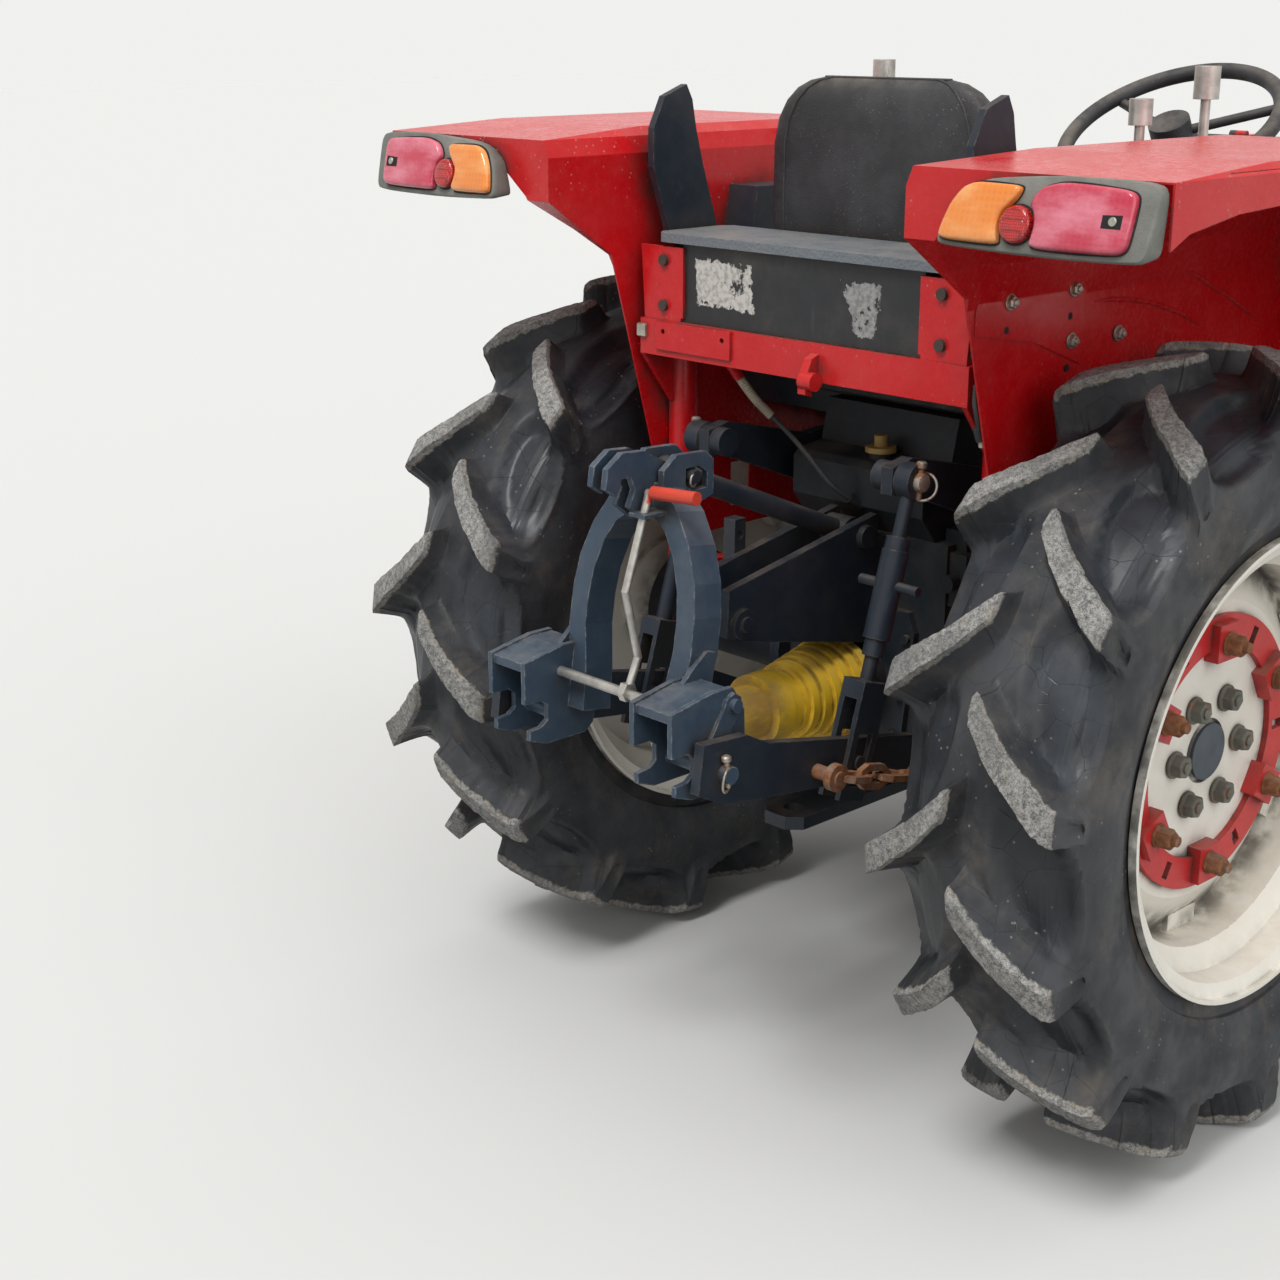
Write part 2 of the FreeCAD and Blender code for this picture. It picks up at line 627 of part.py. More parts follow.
valve = box("valve_block", "-case_half_w - 30", "-case_half_w + 20", "10", "84", "690", "770")
valve_top = box("valve_top", "-case_half_w - 18", "-case_half_w + 20", "26", "70", "765", "800")
plug = rod("valve_plug", "y", "13", "80", "104", "-case_half_w - 10", "728")
rear_lid = plate("rear_lid", "xz", [
    ("-105", "640"), ("-88", "480"), ("-40", "430"), ("40", "430"), ("88", "480"), ("105", "640"),
    ("92", "670"), ("-92", "670"),
], "case_rear - 5", "case_rear + 12")
lid_bolts = [rod("lid_bolt_%d" % i, "y", "7", "case_rear + 5", "case_rear + 19", x, z) for i,
             (x, z) in enumerate((
    ("92", "630"), ("84", "540"), ("70", "475"), ("-70", "475"), ("-84", "540"), ("-92", "630")))]
shield = rod("shaft_shield", "y", "58", "case_rear - 10", "shaft_y", "0", "shaft_z")
shield_room = rod("shaft_shield_room", "y", "46", "case_rear", "shaft_y + 10", "0", "shaft_z")
shield = cut("shaft_shield_ring", shield, [shield_room])
cable_way = (CABLE_ROUTE[1] - CABLE_ROUTE[0]).normalize()
case_gland = solid("case_gland",
                   Part.makeCylinder(size("gland_r"), 24, CABLE_ROUTE[0] - cable_way * 24, cable_way))
case_all = join("case_form",
                [case_low, case_top, shield, stub, filler_neck, filler_cap, filler_knob, seam, valve,
                              valve_top, plug, rear_lid, case_gland] + lid_bolts)
lift_bore = rod("lift_bore", "x", "26 + fit", "-300", "300", "lift_y", "lift_z")
piece(cut("case_bored", case_all, [lift_bore]), "transmission_case")

housing = spun("axle_housing", [
    ("case_half_w + gap", "0"), ("case_half_w + gap", "118"), ("case_half_w + 18", "118"),
    ("case_half_w + 26", "housing_r"), ("430", "housing_r"), ("440", "95"), ("470", "95"),
    ("470", "axle_shaft_r + fit"), ("400", "axle_shaft_r + fit"), ("400", "0"),
], "0", "rear_tyre_r")
link_pin = rod("link_pin", "x", "link_pin_r", "case_half_w + 10", "link_x + link_t / 2 + 52",
               "link_front_y", "link_front_z")
link_boss = rod("link_boss", "x", "30", "case_half_w + gap", "link_x - link_t / 2 - 1", "link_front_y",
                "link_front_z")
link_rib = box("link_rib", "case_half_w + gap", "case_half_w + 20", "link_front_y - 24",
               "link_front_y + 60",
               "link_front_z", "rear_tyre_r - 80")
piece(both("axle_housing_form", join("axle_housing_set", [housing, link_pin, link_boss, link_rib])),
      "rear_axle_housing")

# Floor, dashboard, hood and covers
step = plate("step", "xy", [
    ("case_half_w + 6", "-floor_front"), ("floor_half_w - 60", "-floor_front"),
    ("floor_half_w", "-floor_front + 60"), ("floor_half_w", "-fender_front - gap"),
    ("fender_in - gap", "-fender_front - gap"), ("fender_in - gap", "-200"), ("case_half_w + 6", "-200"),
], "floor_z - 20", "floor_z")
step_arm = box("step_arm", "case_half_w", "floor_half_w - 60", "-floor_front + 120", "-floor_front + 170",
               "floor_z - 60", "floor_z - 20")
step_arm_rear = box("step_arm_rear", "case_half_w", "fender_in - 20", "-260", "-220", "floor_z - 60",
                    "floor_z - 20")
piece(both("floor_form", join("step_form", [step, step_arm, step_arm_rear])), "floor")

cowl = plate("cowl", "yz", [
    ("-hood_rear + 14", "900 + gap"), ("-hood_rear + 14", "hood_top_rear + 4"),
    ("-hood_rear + 60", "hood_top_rear + 12"),
    ("-850", "1180"), ("-830", "1120"), ("-846", "900 + gap"),
], "-190", "190")
pin_low = box("hinge_leaf_cowl", "127", "137", "-hood_rear + 7", "-hood_rear + 40", "hood_top_rear + 1",
              "hood_top_rear + 9")
pin_eye = rod("hinge_barrel_cowl", "x", "7", "126", "138", "-hood_rear + 7", "hood_top_rear + 10")
pin_bar = rod("hinge_pin", "x", "4", "104", "134", "-hood_rear + 7", "hood_top_rear + 10")
hinge = join("hinge_cowl", [pin_low, pin_eye, pin_bar])
column_end = size("column_tilt")
tilt = math.radians(column_end)
axis = Vector(0, math.sin(tilt), math.cos(tilt))
wheel_c = Vector(0, -size("wheel_y"), size("wheel_z"))
column = Part.makeCylinder(size("column_r"), 420 - 36 - size("gap"), wheel_c - axis * 420, axis)
column = solid("column", column)
piece(join("dashboard_form", [cowl, column, hinge, mirrored("hinge_cowl_other", hinge)]), "dashboard")

hood_out = plate("hood_out", "xz", [
    ("-hood_half_w", "hood_skirt_z"), ("-hood_half_w", "hood_skirt_z + 175"),
    ("-hood_half_w + 45", "hood_skirt_z + 290"),
    ("hood_half_w - 45", "hood_skirt_z + 290"), ("hood_half_w", "hood_skirt_z + 175"),
    ("hood_half_w", "hood_skirt_z"),
], "-hood_front", "-hood_rear")
hood_in = plate("hood_in", "xz", [
    ("-hood_half_w + sheet", "hood_skirt_z - 5"), ("-hood_half_w + sheet", "hood_skirt_z + 174"),
    ("-hood_half_w + 47", "hood_skirt_z + 290 - sheet"), ("hood_half_w - 47", "hood_skirt_z + 290 - sheet"),
    ("hood_half_w - sheet", "hood_skirt_z + 174"), ("hood_half_w - sheet", "hood_skirt_z - 5"),
], "-hood_front + sheet", "-hood_rear + 5")
hood_side = plate("hood_side", "yz", [
    ("-hood_front", "hood_skirt_z"), ("-hood_front", "hood_skirt_z + 130"),
    ("-hood_front + 60", "hood_top_front - 12"),
    ("-hood_front + 130", "hood_top_front"), ("-hood_rear", "hood_top_rear"),
    ("-hood_rear", "hood_skirt_z"),
], "-400", "400")
hood_side_in = plate("hood_side_in", "yz", [
    ("-hood_front + sheet", "hood_skirt_z - 5"), ("-hood_front + sheet", "hood_skirt_z + 129"),
    ("-hood_front + 62", "hood_top_front - 12 - sheet"), ("-hood_front + 131", "hood_top_front - sheet"),
    ("-hood_rear + 5", "hood_top_rear - sheet + 0.4"), ("-hood_rear + 5", "hood_skirt_z - 5"),
], "-401", "401")
outer = doc.addObject("Part::Common", "hood_outer")
outer.Base = hood_out
outer.Tool = hood_side
inner = doc.addObject("Part::Common", "hood_inner")
inner.Base = hood_in
inner.Tool = hood_side_in
leaf = box("hinge_leaf_hood", "105", "125.5", "-hood_rear - 44", "-hood_rear + 7", "hood_top_rear - 6",
           "hood_top_rear + 9")
leaf_cut = box("hinge_leaf_room", "100", "130", "-hood_rear", "-hood_rear + 20", "hood_top_rear - 10",
               "hood_top_rear + 4")
barrel = rod("hinge_barrel_hood", "x", "7", "105", "125.5", "-hood_rear + 7", "hood_top_rear + 10")
barrel_hole = rod("hinge_barrel_hole", "x", "4 + fit", "100", "130", "-hood_rear + 7", "hood_top_rear + 10")
leaf = cut("hinge_leaf_trimmed", leaf, [leaf_cut])
leaf = cut("hinge_hood", join("hinge_hood_set", [leaf, barrel]), [barrel_hole])
shell = cut("hood_shell", outer, [inner])
piece(join("hood_form", [shell, leaf, mirrored("hinge_hood_other", leaf)]), "hood")

cover = box("side_cover", "hood_half_w - sheet", "hood_half_w", "-hood_front + 24", "-hood_rear",
            "cover_bottom",
            "hood_skirt_z - gap")
cover_foot = box("side_cover_foot", "engine_half_w + gap", "hood_half_w - sheet", "-engine_front + 60",
                 "-engine_front + 90",
                 "cover_bottom + 20", "cover_bottom + 50")
cover_foot_rear = box("side_cover_foot_rear", "engine_half_w + gap", "hood_half_w - sheet",
                      "-engine_rear - 60",
                      "-engine_rear - 30", "cover_bottom + 20", "cover_bottom + 50")
louvres = [box("louvre_%d" % i, "hood_half_w - sheet - 5", "hood_half_w + 5",
               "-hood_front + %d" % (130 + i * 32),
               "-hood_front + %d" % (142 + i * 32), "cover_bottom + 80",
               "hood_skirt_z - 50") for i in range(8)]
cover = cut("side_cover_vented", cover, louvres)
piece(both("side_covers_form", join("side_cover_set", [cover, cover_foot, cover_foot_rear])), "side_covers")

grille_plate = box("grille_plate", "-hood_half_w + 5", "hood_half_w - 5", "-grille_front",
                   "-hood_front + 20",
                   "690 + gap", "hood_skirt_z - 4")
slots = []
for i in range(6):
    slots.append(box("grille_slot_%d" % i, "-hood_half_w + 30", "hood_half_w - 30", "-grille_front - 5",
                     "-hood_front + 25", "cover_bottom - 40 + %d" % (i * 26),
                     "cover_bottom - 40 + %d" % (i * 26 + 14)))
piece(cut("grille_form", grille_plate, slots), "grille")
lamp = box("headlamp", "80", "200", "-grille_front - 14", "-grille_front", "hood_skirt_z - 76",
           "hood_skirt_z - 20")
piece(both("headlamps_form", lamp), "headlamps")

# Fenders and tail lamps
arc = [
    ("fender_rear", "fender_top - 12"), ("220", "fender_top"), ("-210", "fender_top"),
    ("-420", "fender_top - 120"), ("-fender_front + 80", "floor_z + 361"),
    ("-fender_front", "floor_z + 81"), ("-fender_front", "floor_z - 24"),
]
arc_in = [
    ("-fender_front + sheet", "floor_z - 30"), ("-fender_front + sheet", "floor_z + 81"),
    ("-fender_front + 80 + sheet", "floor_z + 360"), ("-420 + 2", "fender_top - 120 - sheet"),
    ("-210 + 1", "fender_top - sheet"), ("220", "fender_top - sheet"),
    ("fender_rear + 10", "fender_top - 12 - sheet"),
]
shell_out = plate("fender_shell", "yz", arc + [
    ("-180", "floor_z - 24"), ("-110", "fender_low"), ("180", "fender_low"), ("246", "fender_low + 237"),
    ("307", "fender_top - 180"),
    ("fender_rear", "fender_top - 97"),
], "fender_in", "fender_out")
shoulder = plate("fender_shoulder", "xz", [
    ("fender_in", "floor_z - 30"), ("fender_in", "fender_top - 36"), ("fender_in + 10", "fender_top - 12"),
    ("fender_in + 36", "fender_top + 2"), ("fender_out - 12", "fender_top + 2"),
    ("fender_out", "fender_top - 12"),
    ("fender_out", "floor_z - 30"),
], "-fender_front - 20", "fender_rear + 20")
shell = doc.addObject("Part::Common", "fender_outer")
shell.Base = shell_out
shell.Tool = shoulder
shell_in = plate("fender_room", "yz", arc_in + [("fender_rear + 10", "floor_z - 30")],
                 "fender_in + sheet", "fender_out - sheet")
cove = plate("fender_cove", "xz", [
    ("fender_in + sheet", "floor_z - 40"), ("fender_in + sheet", "fender_top - 196"),
    ("fender_in + 18", "fender_top - 140"), ("fender_in + 50", "fender_top - 92"),
    ("fender_in + 105", "fender_top - 50"),
    ("fender_in + 190", "fender_top - 26"), ("fender_out - 60", "fender_top - 10"),
    ("fender_out - sheet", "fender_top - 8"),
    ("fender_out - sheet", "floor_z - 40"),
], "-fender_front - 30", "fender_rear + 30")
room = doc.addObject("Part::Common", "fender_inner")
room.Base = shell_in
room.Tool = cove
below_lip = plate("fender_cut", "yz", [
    ("-fender_front - 20", "floor_z - 30"), ("-fender_front + lip_depth", "floor_z - 30"),
    ("-fender_front + lip_depth", "floor_z + 66"),
    ("-fender_front + 80 + lip_depth", "floor_z + 321"),
    ("-390", "fender_top - 120 - lip_depth"), ("-200", "fender_top - lip_depth"),
    ("211", "fender_top - lip_depth"),
    ("295", "fender_top - lip_depth - 4"), ("393", "fender_top - lip_depth - 19"),
    ("fender_rear + 20", "fender_top - lip_depth - 45"),
    ("fender_rear + 20", "floor_z - 40"), ("-fender_front - 20", "floor_z - 40"),
], "fender_out - sheet - 1", "fender_out + 5")
window = box("fender_window", "fender_in - 5", "fender_in + 20", "6", "50", "fender_low + 33",
             "fender_low + 105")
left = piece(cut("fender_left_form", shell, [room, below_lip, window]), "fender_left")
piece(mirrored("fender_right_form", left), "fender_right")
lamp_y = "fender_rear + 40"
lamp_z = "fender_top - 97"
lamp_lean = size("lamp_lean")
body = leaning("lamp_body", [
    ("392", "0"), ("fender_out - 46", "0"), ("fender_out - 8", "14"), ("fender_out", "30"),
    ("fender_out", "84"), ("448", "84"),
    ("430", "80"), ("388", "12"),
], "-60", "0", lamp_lean, lamp_y, lamp_z)
amber = leaning("lamp_amber", [("400", "10"), ("505", "8"), ("505", "78"), ("450", "78"), ("436", "72")],
                "-2", "6", lamp_lean, lamp_y, lamp_z)
red = leaning("lamp_red", [
    ("548", "8"), ("fender_out - 48", "8"), ("fender_out - 18", "22"), ("fender_out - 16", "74"),
    ("526", "78"), ("526", "54"),
    ("548", "44"),
], "-2", "9", lamp_lean, lamp_y, lamp_z)
reflector = leaning("lamp_reflector", [
    ("519", "18"), ("530", "22"), ("535", "34"), ("530", "46"), ("519", "51"), ("508", "46"), ("503", "34"),
    ("508", "22"),
], "-2", "9", lamp_lean, lamp_y, lamp_z)
lamp_room = box("lamp_room", "300", "fender_out + 60", "fender_rear - 120", "fender_rear + gap",
                "fender_top - 160",
                "fender_top + 60")
left = piece(cut("tail_lamp_left_form", join("tail_lamp_set", [body, amber, red, reflector]), [lamp_room]),
             "tail_lamp_left")
piece(mirrored("tail_lamp_right_form", left), "tail_lamp_right")

# Rear frame, panel and tray
beam = box("rear_beam", "-fender_in + 18", "fender_in - 18", "beam_y", "beam_y + beam_t", "beam_low",
           "beam_high")
post = rod("rear_post", "z", "post_r", "rear_tyre_r + housing_r + 30", "beam_low + 20", "post_x", "post_y")
gusset = plate("rear_gusset", "yz", [
    ("post_y - 30", "beam_low - 70"), ("post_y - 60", "beam_high"), ("beam_y + beam_t", "beam_high"),
    ("beam_y + beam_t", "beam_low"),
    ("post_y + 24", "beam_low - 80"), ("post_y", "beam_low - 90"),
], "fender_in - 27", "fender_in - 18")
gusset_foot = box("rear_gusset_foot", "fender_in - 60", "fender_in - 20", "post_y - 40", "beam_y + 6",
                  "beam_low", "beam_low + 10")
foot = plate("rear_foot", "yz", [
    ("-60", "rear_tyre_r + housing_r + 26"), ("post_y + post_r", "rear_tyre_r + housing_r + 26"),
    ("post_y + post_r", "rear_tyre_r + housing_r + 90"), ("-60", "rear_tyre_r + housing_r + 40"),
], "fender_in - 72", "fender_in - 28")
saddle = box("rear_saddle", "fender_in - 72", "fender_in - 28", "-50", "50", "rear_tyre_r + housing_r - 22",
             "rear_tyre_r + housing_r + 28")
pad_cut = rod("saddle_cut", "x", "housing_r + gap", "case_half_w + 60", "430", "0", "rear_tyre_r")
side = join("rear_side", [post, gusset, gusset_foot, foot, saddle])
side = cut("rear_side_cut", side, [pad_cut])
hook_arm = plate("rear_hook", "yz", [
    ("beam_y + beam_t - 2", "beam_low + 8"), ("beam_y + beam_t - 2", "beam_low + 40"),
    ("beam_y + beam_t + 14", "beam_low + 34"),
    ("beam_y + beam_t + 26", "beam_low + 8"), ("beam_y + beam_t + 26", "beam_low - 14"),
    ("beam_y + beam_t + 12", "beam_low - 18"),
    ("beam_y + beam_t + 12", "beam_low + 4"),
], "-50", "-36")
hook_disc = rod("rear_hook_disc", "x", "13", "-62", "-38", "beam_y + beam_t + 18", "beam_low + 4")
sign = box("plate_bracket", "117", "271", "beam_y + beam_t - 1", "beam_y + beam_t + 4", "beam_low + 10",
           "beam_high - 2")
sign_hole = rod("plate_bracket_hole", "y", "4", "beam_y + beam_t - 6", "beam_y + beam_t + 10", "133",
                "beam_high - 16")
sign_hole_b = rod("plate_bracket_hole_b", "y", "4", "beam_y + beam_t - 6", "beam_y + beam_t + 10", "255",
                  "beam_high - 16")
bracket = plate("panel_bracket", "xz", [
    ("panel_half_w + gap", "beam_high - 6"), ("panel_half_w + 76", "beam_high - 6"),
    ("panel_half_w + 84", "panel_high - 6"), ("panel_half_w - 4", "panel_high - 6"),
    ("panel_half_w - 4", "beam_high + 6"),
    ("panel_half_w + gap", "beam_high + 6"),
], "beam_y + 26 + gap", "beam_y + 31")
bracket_web = box("panel_bracket_web", "panel_half_w + gap", "panel_half_w + 76", "beam_y + 10",
                  "beam_y + 28",
                  "beam_high - 6", "beam_high + 4")
panel_bolts = [rod("panel_bolt_%d" % i, "y", "8", "beam_y + 28", "beam_y + 37", "panel_half_w + 34", level)
               for i, level in enumerate(("beam_high + 22", "panel_high - 26"))]
panel_side = join("panel_side", [bracket, bracket_web] + panel_bolts)
cable_way = (CABLE_ROUTE[-1] - CABLE_ROUTE[-2]).normalize()
beam_gland = solid("beam_gland", Part.makeCylinder(size("gland_r"), 28, CABLE_ROUTE[-1], cable_way))
frame_set = join("rear_frame_set",
                 [beam, beam_gland, side, mirrored("rear_side_other", side), hook_arm, hook_disc, sign,
                                    panel_side, mirrored("panel_side_other", panel_side)])
piece(cut("rear_frame_form", frame_set, [sign_hole, sign_hole_b]), "rear_frame")
piece(box("rear_panel_form", "-panel_half_w", "panel_half_w", "beam_y", "beam_y + 26", "beam_high + gap",
          "panel_high"), "rear_panel")
tray = plate("tray_form", "xy", [
    ("-tray_half_w + 14", "seat_rear + 8"), ("tray_half_w - 14", "seat_rear + 8"),
    ("tray_half_w", "seat_rear + 24"),
    ("tray_half_w", "beam_y + beam_t - 14"), ("tray_half_w - 14", "beam_y + beam_t + 2"),
    ("-tray_half_w + 14", "beam_y + beam_t + 2"), ("-tray_half_w", "beam_y + beam_t - 14"),
    ("-tray_half_w", "seat_rear + 24"),
], "panel_high + gap", "panel_high + tray_t")
piece(tray, "tray")

# Seat, consoles, levers and pedals
seat_back = plate("seat_back", "yz", [
    ("20", "seat_top - 30"), ("56", "seat_back_top - 40"), ("66", "seat_back_top - 8"),
    ("84", "seat_back_top"),
    ("seat_rear - 10", "seat_back_top - 12"), ("seat_rear", "seat_back_top - 60"),
    ("seat_rear - 8", "seat_top + 60"),
    ("seat_rear - 30", "seat_top - 60"), ("40", "seat_top - 90"), ("0", "seat_top - 95"),
    ("-60", "seat_top - 95"), ("-60", "seat_top - 30"),
], "-seat_half_w", "seat_half_w")
back_shape = plate("seat_back_trim", "xz", [
    ("-seat_half_w", "seat_top - 100"), ("-seat_half_w", "seat_back_top - 90"),
    ("-seat_half_w + 60", "seat_back_top + 5"),
    ("seat_half_w - 60", "seat_back_top + 5"), ("seat_half_w", "seat_back_top - 90"),
    ("seat_half_w", "seat_top - 100"),
], "-200", "200")
back_trim = doc.addObject("Part::Common", "seat_back_round")
back_trim.Base = seat_back
back_trim.Tool = back_shape
seat_pan = plate("seat_pan", "yz", [
    ("-400", "seat_top - 95"), ("-418", "seat_top - 60"), ("-410", "seat_top - 18"), ("-370", "seat_top"),
    ("-60", "seat_top - 26"),
    ("10", "seat_top - 20"), ("10", "seat_top - 95"),
], "-seat_half_w", "seat_half_w")
wing = plate("seat_wing", "yz", [
    ("-300", "seat_top - 40"), ("-250", "seat_top + 14"), ("-60", "seat_top + 20"), ("30", "seat_top + 60"),
    ("50", "seat_top - 40"),
], "seat_half_w - 40", "seat_half_w")
seat_base = box("seat_base", "-110", "110", "-220", "-20", "955 + gap", "seat_top - 90")
seat_cover = box("seat_cover", "-seat_half_w", "seat_half_w", "-300", "40", "seat_top - 110",
                 "seat_top - 88")
piece(join("seat_set", [back_trim, seat_pan, wing, mirrored("seat_wing_other", wing), seat_base,
                       seat_cover]), "seat")
console = plate("console", "yz", [
    ("-380", "floor_z + 200"), ("-420", "1150"), ("-300", "1260"), ("60", "1260"), ("90", "1100"),
    ("0", "floor_z + 300"),
], "fender_in - 60", "fender_in - gap")
guard = plate("seat_guard", "yz", [
    ("40", "1120"), ("100", "1112"), ("165", "1140"), ("227", "1196"), ("262", "1297"), ("262", "1352"),
    ("240", "1396"), ("196", "1412"),
    ("184", "1390"), ("176", "1350"), ("161", "1297"), ("128", "1200"), ("80", "1170"), ("40", "1180"),
], "fender_in - 42", "fender_in - 30")
piece(both("consoles_form", join("console_set", [console, guard])), "consoles")
lever = rod("lever_rod", "z", "7", "1260 + gap", "1400", "fender_in - 30", "-260")
knob = rod("lever_knob", "z", "18", "1395", "1440", "fender_in - 30", "-260")
lever_b = rod("lever_rod_rear", "z", "7", "1260 + gap", "1370", "fender_in - 30", "-100")
knob_b = rod("lever_knob_rear", "z", "16", "1365", "1400", "fender_in - 30", "-100")
levers = both("levers_form", join("lever_set", [lever, knob, lever_b, knob_b]))
pedal_arm = plate("pedal_arm", "yz", [
    ("-960", "floor_z + 100"), ("-930", "floor_z + 100"), ("-820", "floor_z + 90"),
    ("-820", "floor_z + 104"), ("-930", "floor_z + 124"),
    ("-960", "floor_z + 124"),
], "230", "242")
pedal_pad = plate("pedal_pad", "yz", [
    ("-840", "floor_z + 80"), ("-790", "floor_z + 130"), ("-782", "floor_z + 122"),
    ("-832", "floor_z + 72"),
], "200", "272")
pedal_axle = rod("pedal_axle", "x", "12", "case_half_w + gap", "242", "-945", "floor_z + 112")
pedals = both("pedals_form", join("pedal_set", [pedal_arm, pedal_pad, pedal_axle]))
controls = doc.addObject("Part::Compound", "controls_form")
controls.Links = [levers, pedals]
piece(controls, "controls")

rim = Part.makeTorus(size("wheel_rim_r") - 13, 13, wheel_c, axis)
hub = Part.makeCylinder(34, 50, wheel_c - axis * 36, axis)
spokes = []
for i in range(3):
    out = Rotation(axis, 90 + 120 * i).multVec(Vector(1, 0, 0))
    spokes.append(Part.makeCylinder(8, size("wheel_rim_r") - 20, wheel_c - axis * 10 + out * 2, out))
wheel = rim.fuse([hub] + spokes)
piece(solid("steering_wheel_form", wheel), "steering_wheel")

# Three-point hitch
link_in = "link_x - link_t / 2"
link_out = "link_x + link_t / 2"
link = plate("lower_link", "yz", [
    ("link_front_y - 28", "link_front_z - 12"), ("link_front_y - 20", "link_front_z + 22"),
    ("70", "472"), ("217", "540"), ("519", "604"), ("560", "625"), ("link_rear_y + 37", "link_rear_z + 46"),
    ("link_rear_y + 46", "link_rear_z - 20"), ("link_rear_y", "link_rear_z - 44"), ("536", "531"),
    ("347", "505"), ("100", "430"), ("link_front_y + 6", "link_front_z - 28"),
    ("link_front_y - 16", "link_front_z - 26"),
], link_in, link_out)
front_hole = rod("link_front_hole", "x", "link_pin_r + fit", "link_in - 5".replace("link_in", link_in),
                 "%s + 5" % link_out, "link_front_y", "link_front_z")
rear_hole = rod("link_rear_hole", "x", "link_pin_r + fit", "%s - 5" % link_in, "%s + 5" % link_out,
                "link_rear_y", "link_rear_z")
link = cut("lower_link_bored", link, [front_hole, rear_hole])
slot_pin = rod("slot_pin", "x", "lift_pin_r", "link_x - 22", "link_x + 21", "slot_y", "slot_z")
link = join("lower_link_set", [link, slot_pin])
piece(both("lower_links_form", link), "lower_links")

arm = plate("lift_arm", "yz", [
    ("lift_y - 44", "lift_z - 20"), ("lift_y - 44", "lift_z + 22"), ("lift_y - 10", "lift_z + 44"),
    ("lift_y + 40", "lift_z + 40"), ("lift_arm_y - 20", "lift_arm_z + 26"),
    ("lift_arm_y + 22", "lift_arm_z + 18"),
    ("lift_arm_y + 22", "lift_arm_z - 20"), ("lift_arm_y - 20", "lift_arm_z - 26"),
    ("lift_y + 30", "lift_z - 42"),
    ("lift_y - 10", "lift_z - 44"),
], "lift_arm_x", "lift_arm_x + lift_arm_t")
arm_pin = rod("lift_arm_pin", "x", "lift_pin_r", "lift_arm_x + 5", "link_x + 22", "lift_arm_y",
              "lift_arm_z")
arm_boss = rod("lift_arm_boss", "x", "21", "lift_arm_x - 20", "lift_arm_x + lift_arm_t", "lift_arm_y",
               "lift_arm_z")
arm = join("lift_arm_set", [arm, arm_boss, arm_pin])
cross = rod("lift_shaft", "x", "26", "-lift_arm_x - 4", "lift_arm_x + 4", "lift_y", "lift_z")
piece(join("lift_arms_form", [arm, mirrored("lift_arm_other", arm), cross]), "lift_arms")


def sloped(name, r, ya, za, yb, zb, x, start=0, stop=0):
    """Round bar in the plane x between two points, shortened by start and stop at its ends."""
    a = Vector(x, ya, za)
    b = Vector(x, yb, zb)
    along = (b - a).normalize()
    a = a + along * start
    b = b - along * stop
    return solid(name, Part.makeCylinder(r, (b - a).Length, a, along))


def strut(name, xa, xb, ya, za, yb, zb, half, back, ahead, slot_r=0, slot_back=0, slot_ahead=0):
    """Flat cheek along a line around its far end, with a long slot there if slot_r isn't 0."""
    a = Vector(xa, ya, za)
    b = Vector(xa, yb, zb)
    along = (b - a).normalize()
    side = Vector(0, -along.z, along.y)

    def bar(low, high, reach):
        corners = [b + along * low + side * reach, b + along * high + side * reach,
                   b + along * high - side * reach, b + along * low - side * reach]
        return Part.Face(Part.makePolygon(corners + corners[:1])).extrude(Vector(xb - xa, 0, 0))

    body = bar(-back, ahead, half)
    if slot_r:
        body = body.cut(bar(-slot_back, slot_ahead, slot_r))
    return solid(name, body)


arm_point = (size("lift_arm_y"), size("lift_arm_z"))
slot_point = (size("slot_y"), size("slot_z"))
link_x = size("link_x")
half_t = size("link_t") / 2
inner_x = (link_x - half_t - 11, link_x - half_t - 3)
outer_x = (link_x + half_t + 3, link_x + half_t + 11)


def rod_end(name, extra):
    """Eye, slotted clevis and the bars between them, on the left side."""
    eye = rod(name + "_eye", "x", "25", "lift_arm_x + lift_arm_t + 3", "link_x + 14", "lift_arm_y",
              "lift_arm_z")
    hole = rod(name + "_eye_hole", "x", "lift_pin_r + fit", "lift_arm_x", "link_x + 30", "lift_arm_y",
               "lift_arm_z")
    cheek_in = strut(name + "_cheek_in", *inner_x, *arm_point, *slot_point, 26, 104, 54, 14.5, 40, 34)
    cheek_out = strut(name + "_cheek_out", *outer_x, *arm_point, *slot_point, 26, 104, 54, 14.5, 40, 34)
    block = strut(name + "_top", inner_x[0], outer_x[1], *arm_point, *slot_point, 26, 112, -86)
    whole = join(name + "_set", [eye, cheek_in, cheek_out, block] + extra)
    return cut(name + "_bored", whole, [hole])


span = math.hypot(slot_point[0] - arm_point[0], slot_point[1] - arm_point[1])
plain = [sloped("plain_bar", 12, *arm_point, *slot_point, link_x, 16, 100),
         sloped("plain_collar", 17, *arm_point, *slot_point, link_x, 42, span - 80)]
threaded = [sloped("threaded_top", 10, *arm_point, *slot_point, link_x, 16, 100),
            sloped("jam_nut", 17, *arm_point, *slot_point, link_x, 78, span - 96),
            sloped("buckle", 19, *arm_point, *slot_point, link_x, 96, 170),
            sloped("buckle_neck", 15, *arm_point, *slot_point, link_x, 96, 146)]
handle_y = arm_point[0] + (slot_point[0] - arm_point[0]) * 0.37
handle_z = arm_point[1] + (slot_point[1] - arm_point[1]) * 0.37
threaded.append(rod("buckle_handle", "x", "7", "link_x - 48", "link_x + 52", handle_y, handle_z))
left_rod = rod_end("rod_left", plain)
right_rod = mirrored("rod_right", rod_end("rod_right_side", threaded))
rods = doc.addObject("Part::Compound", "lift_rods_form")
rods.Links = [left_rod, right_rod]
piece(rods, "lift_rods")

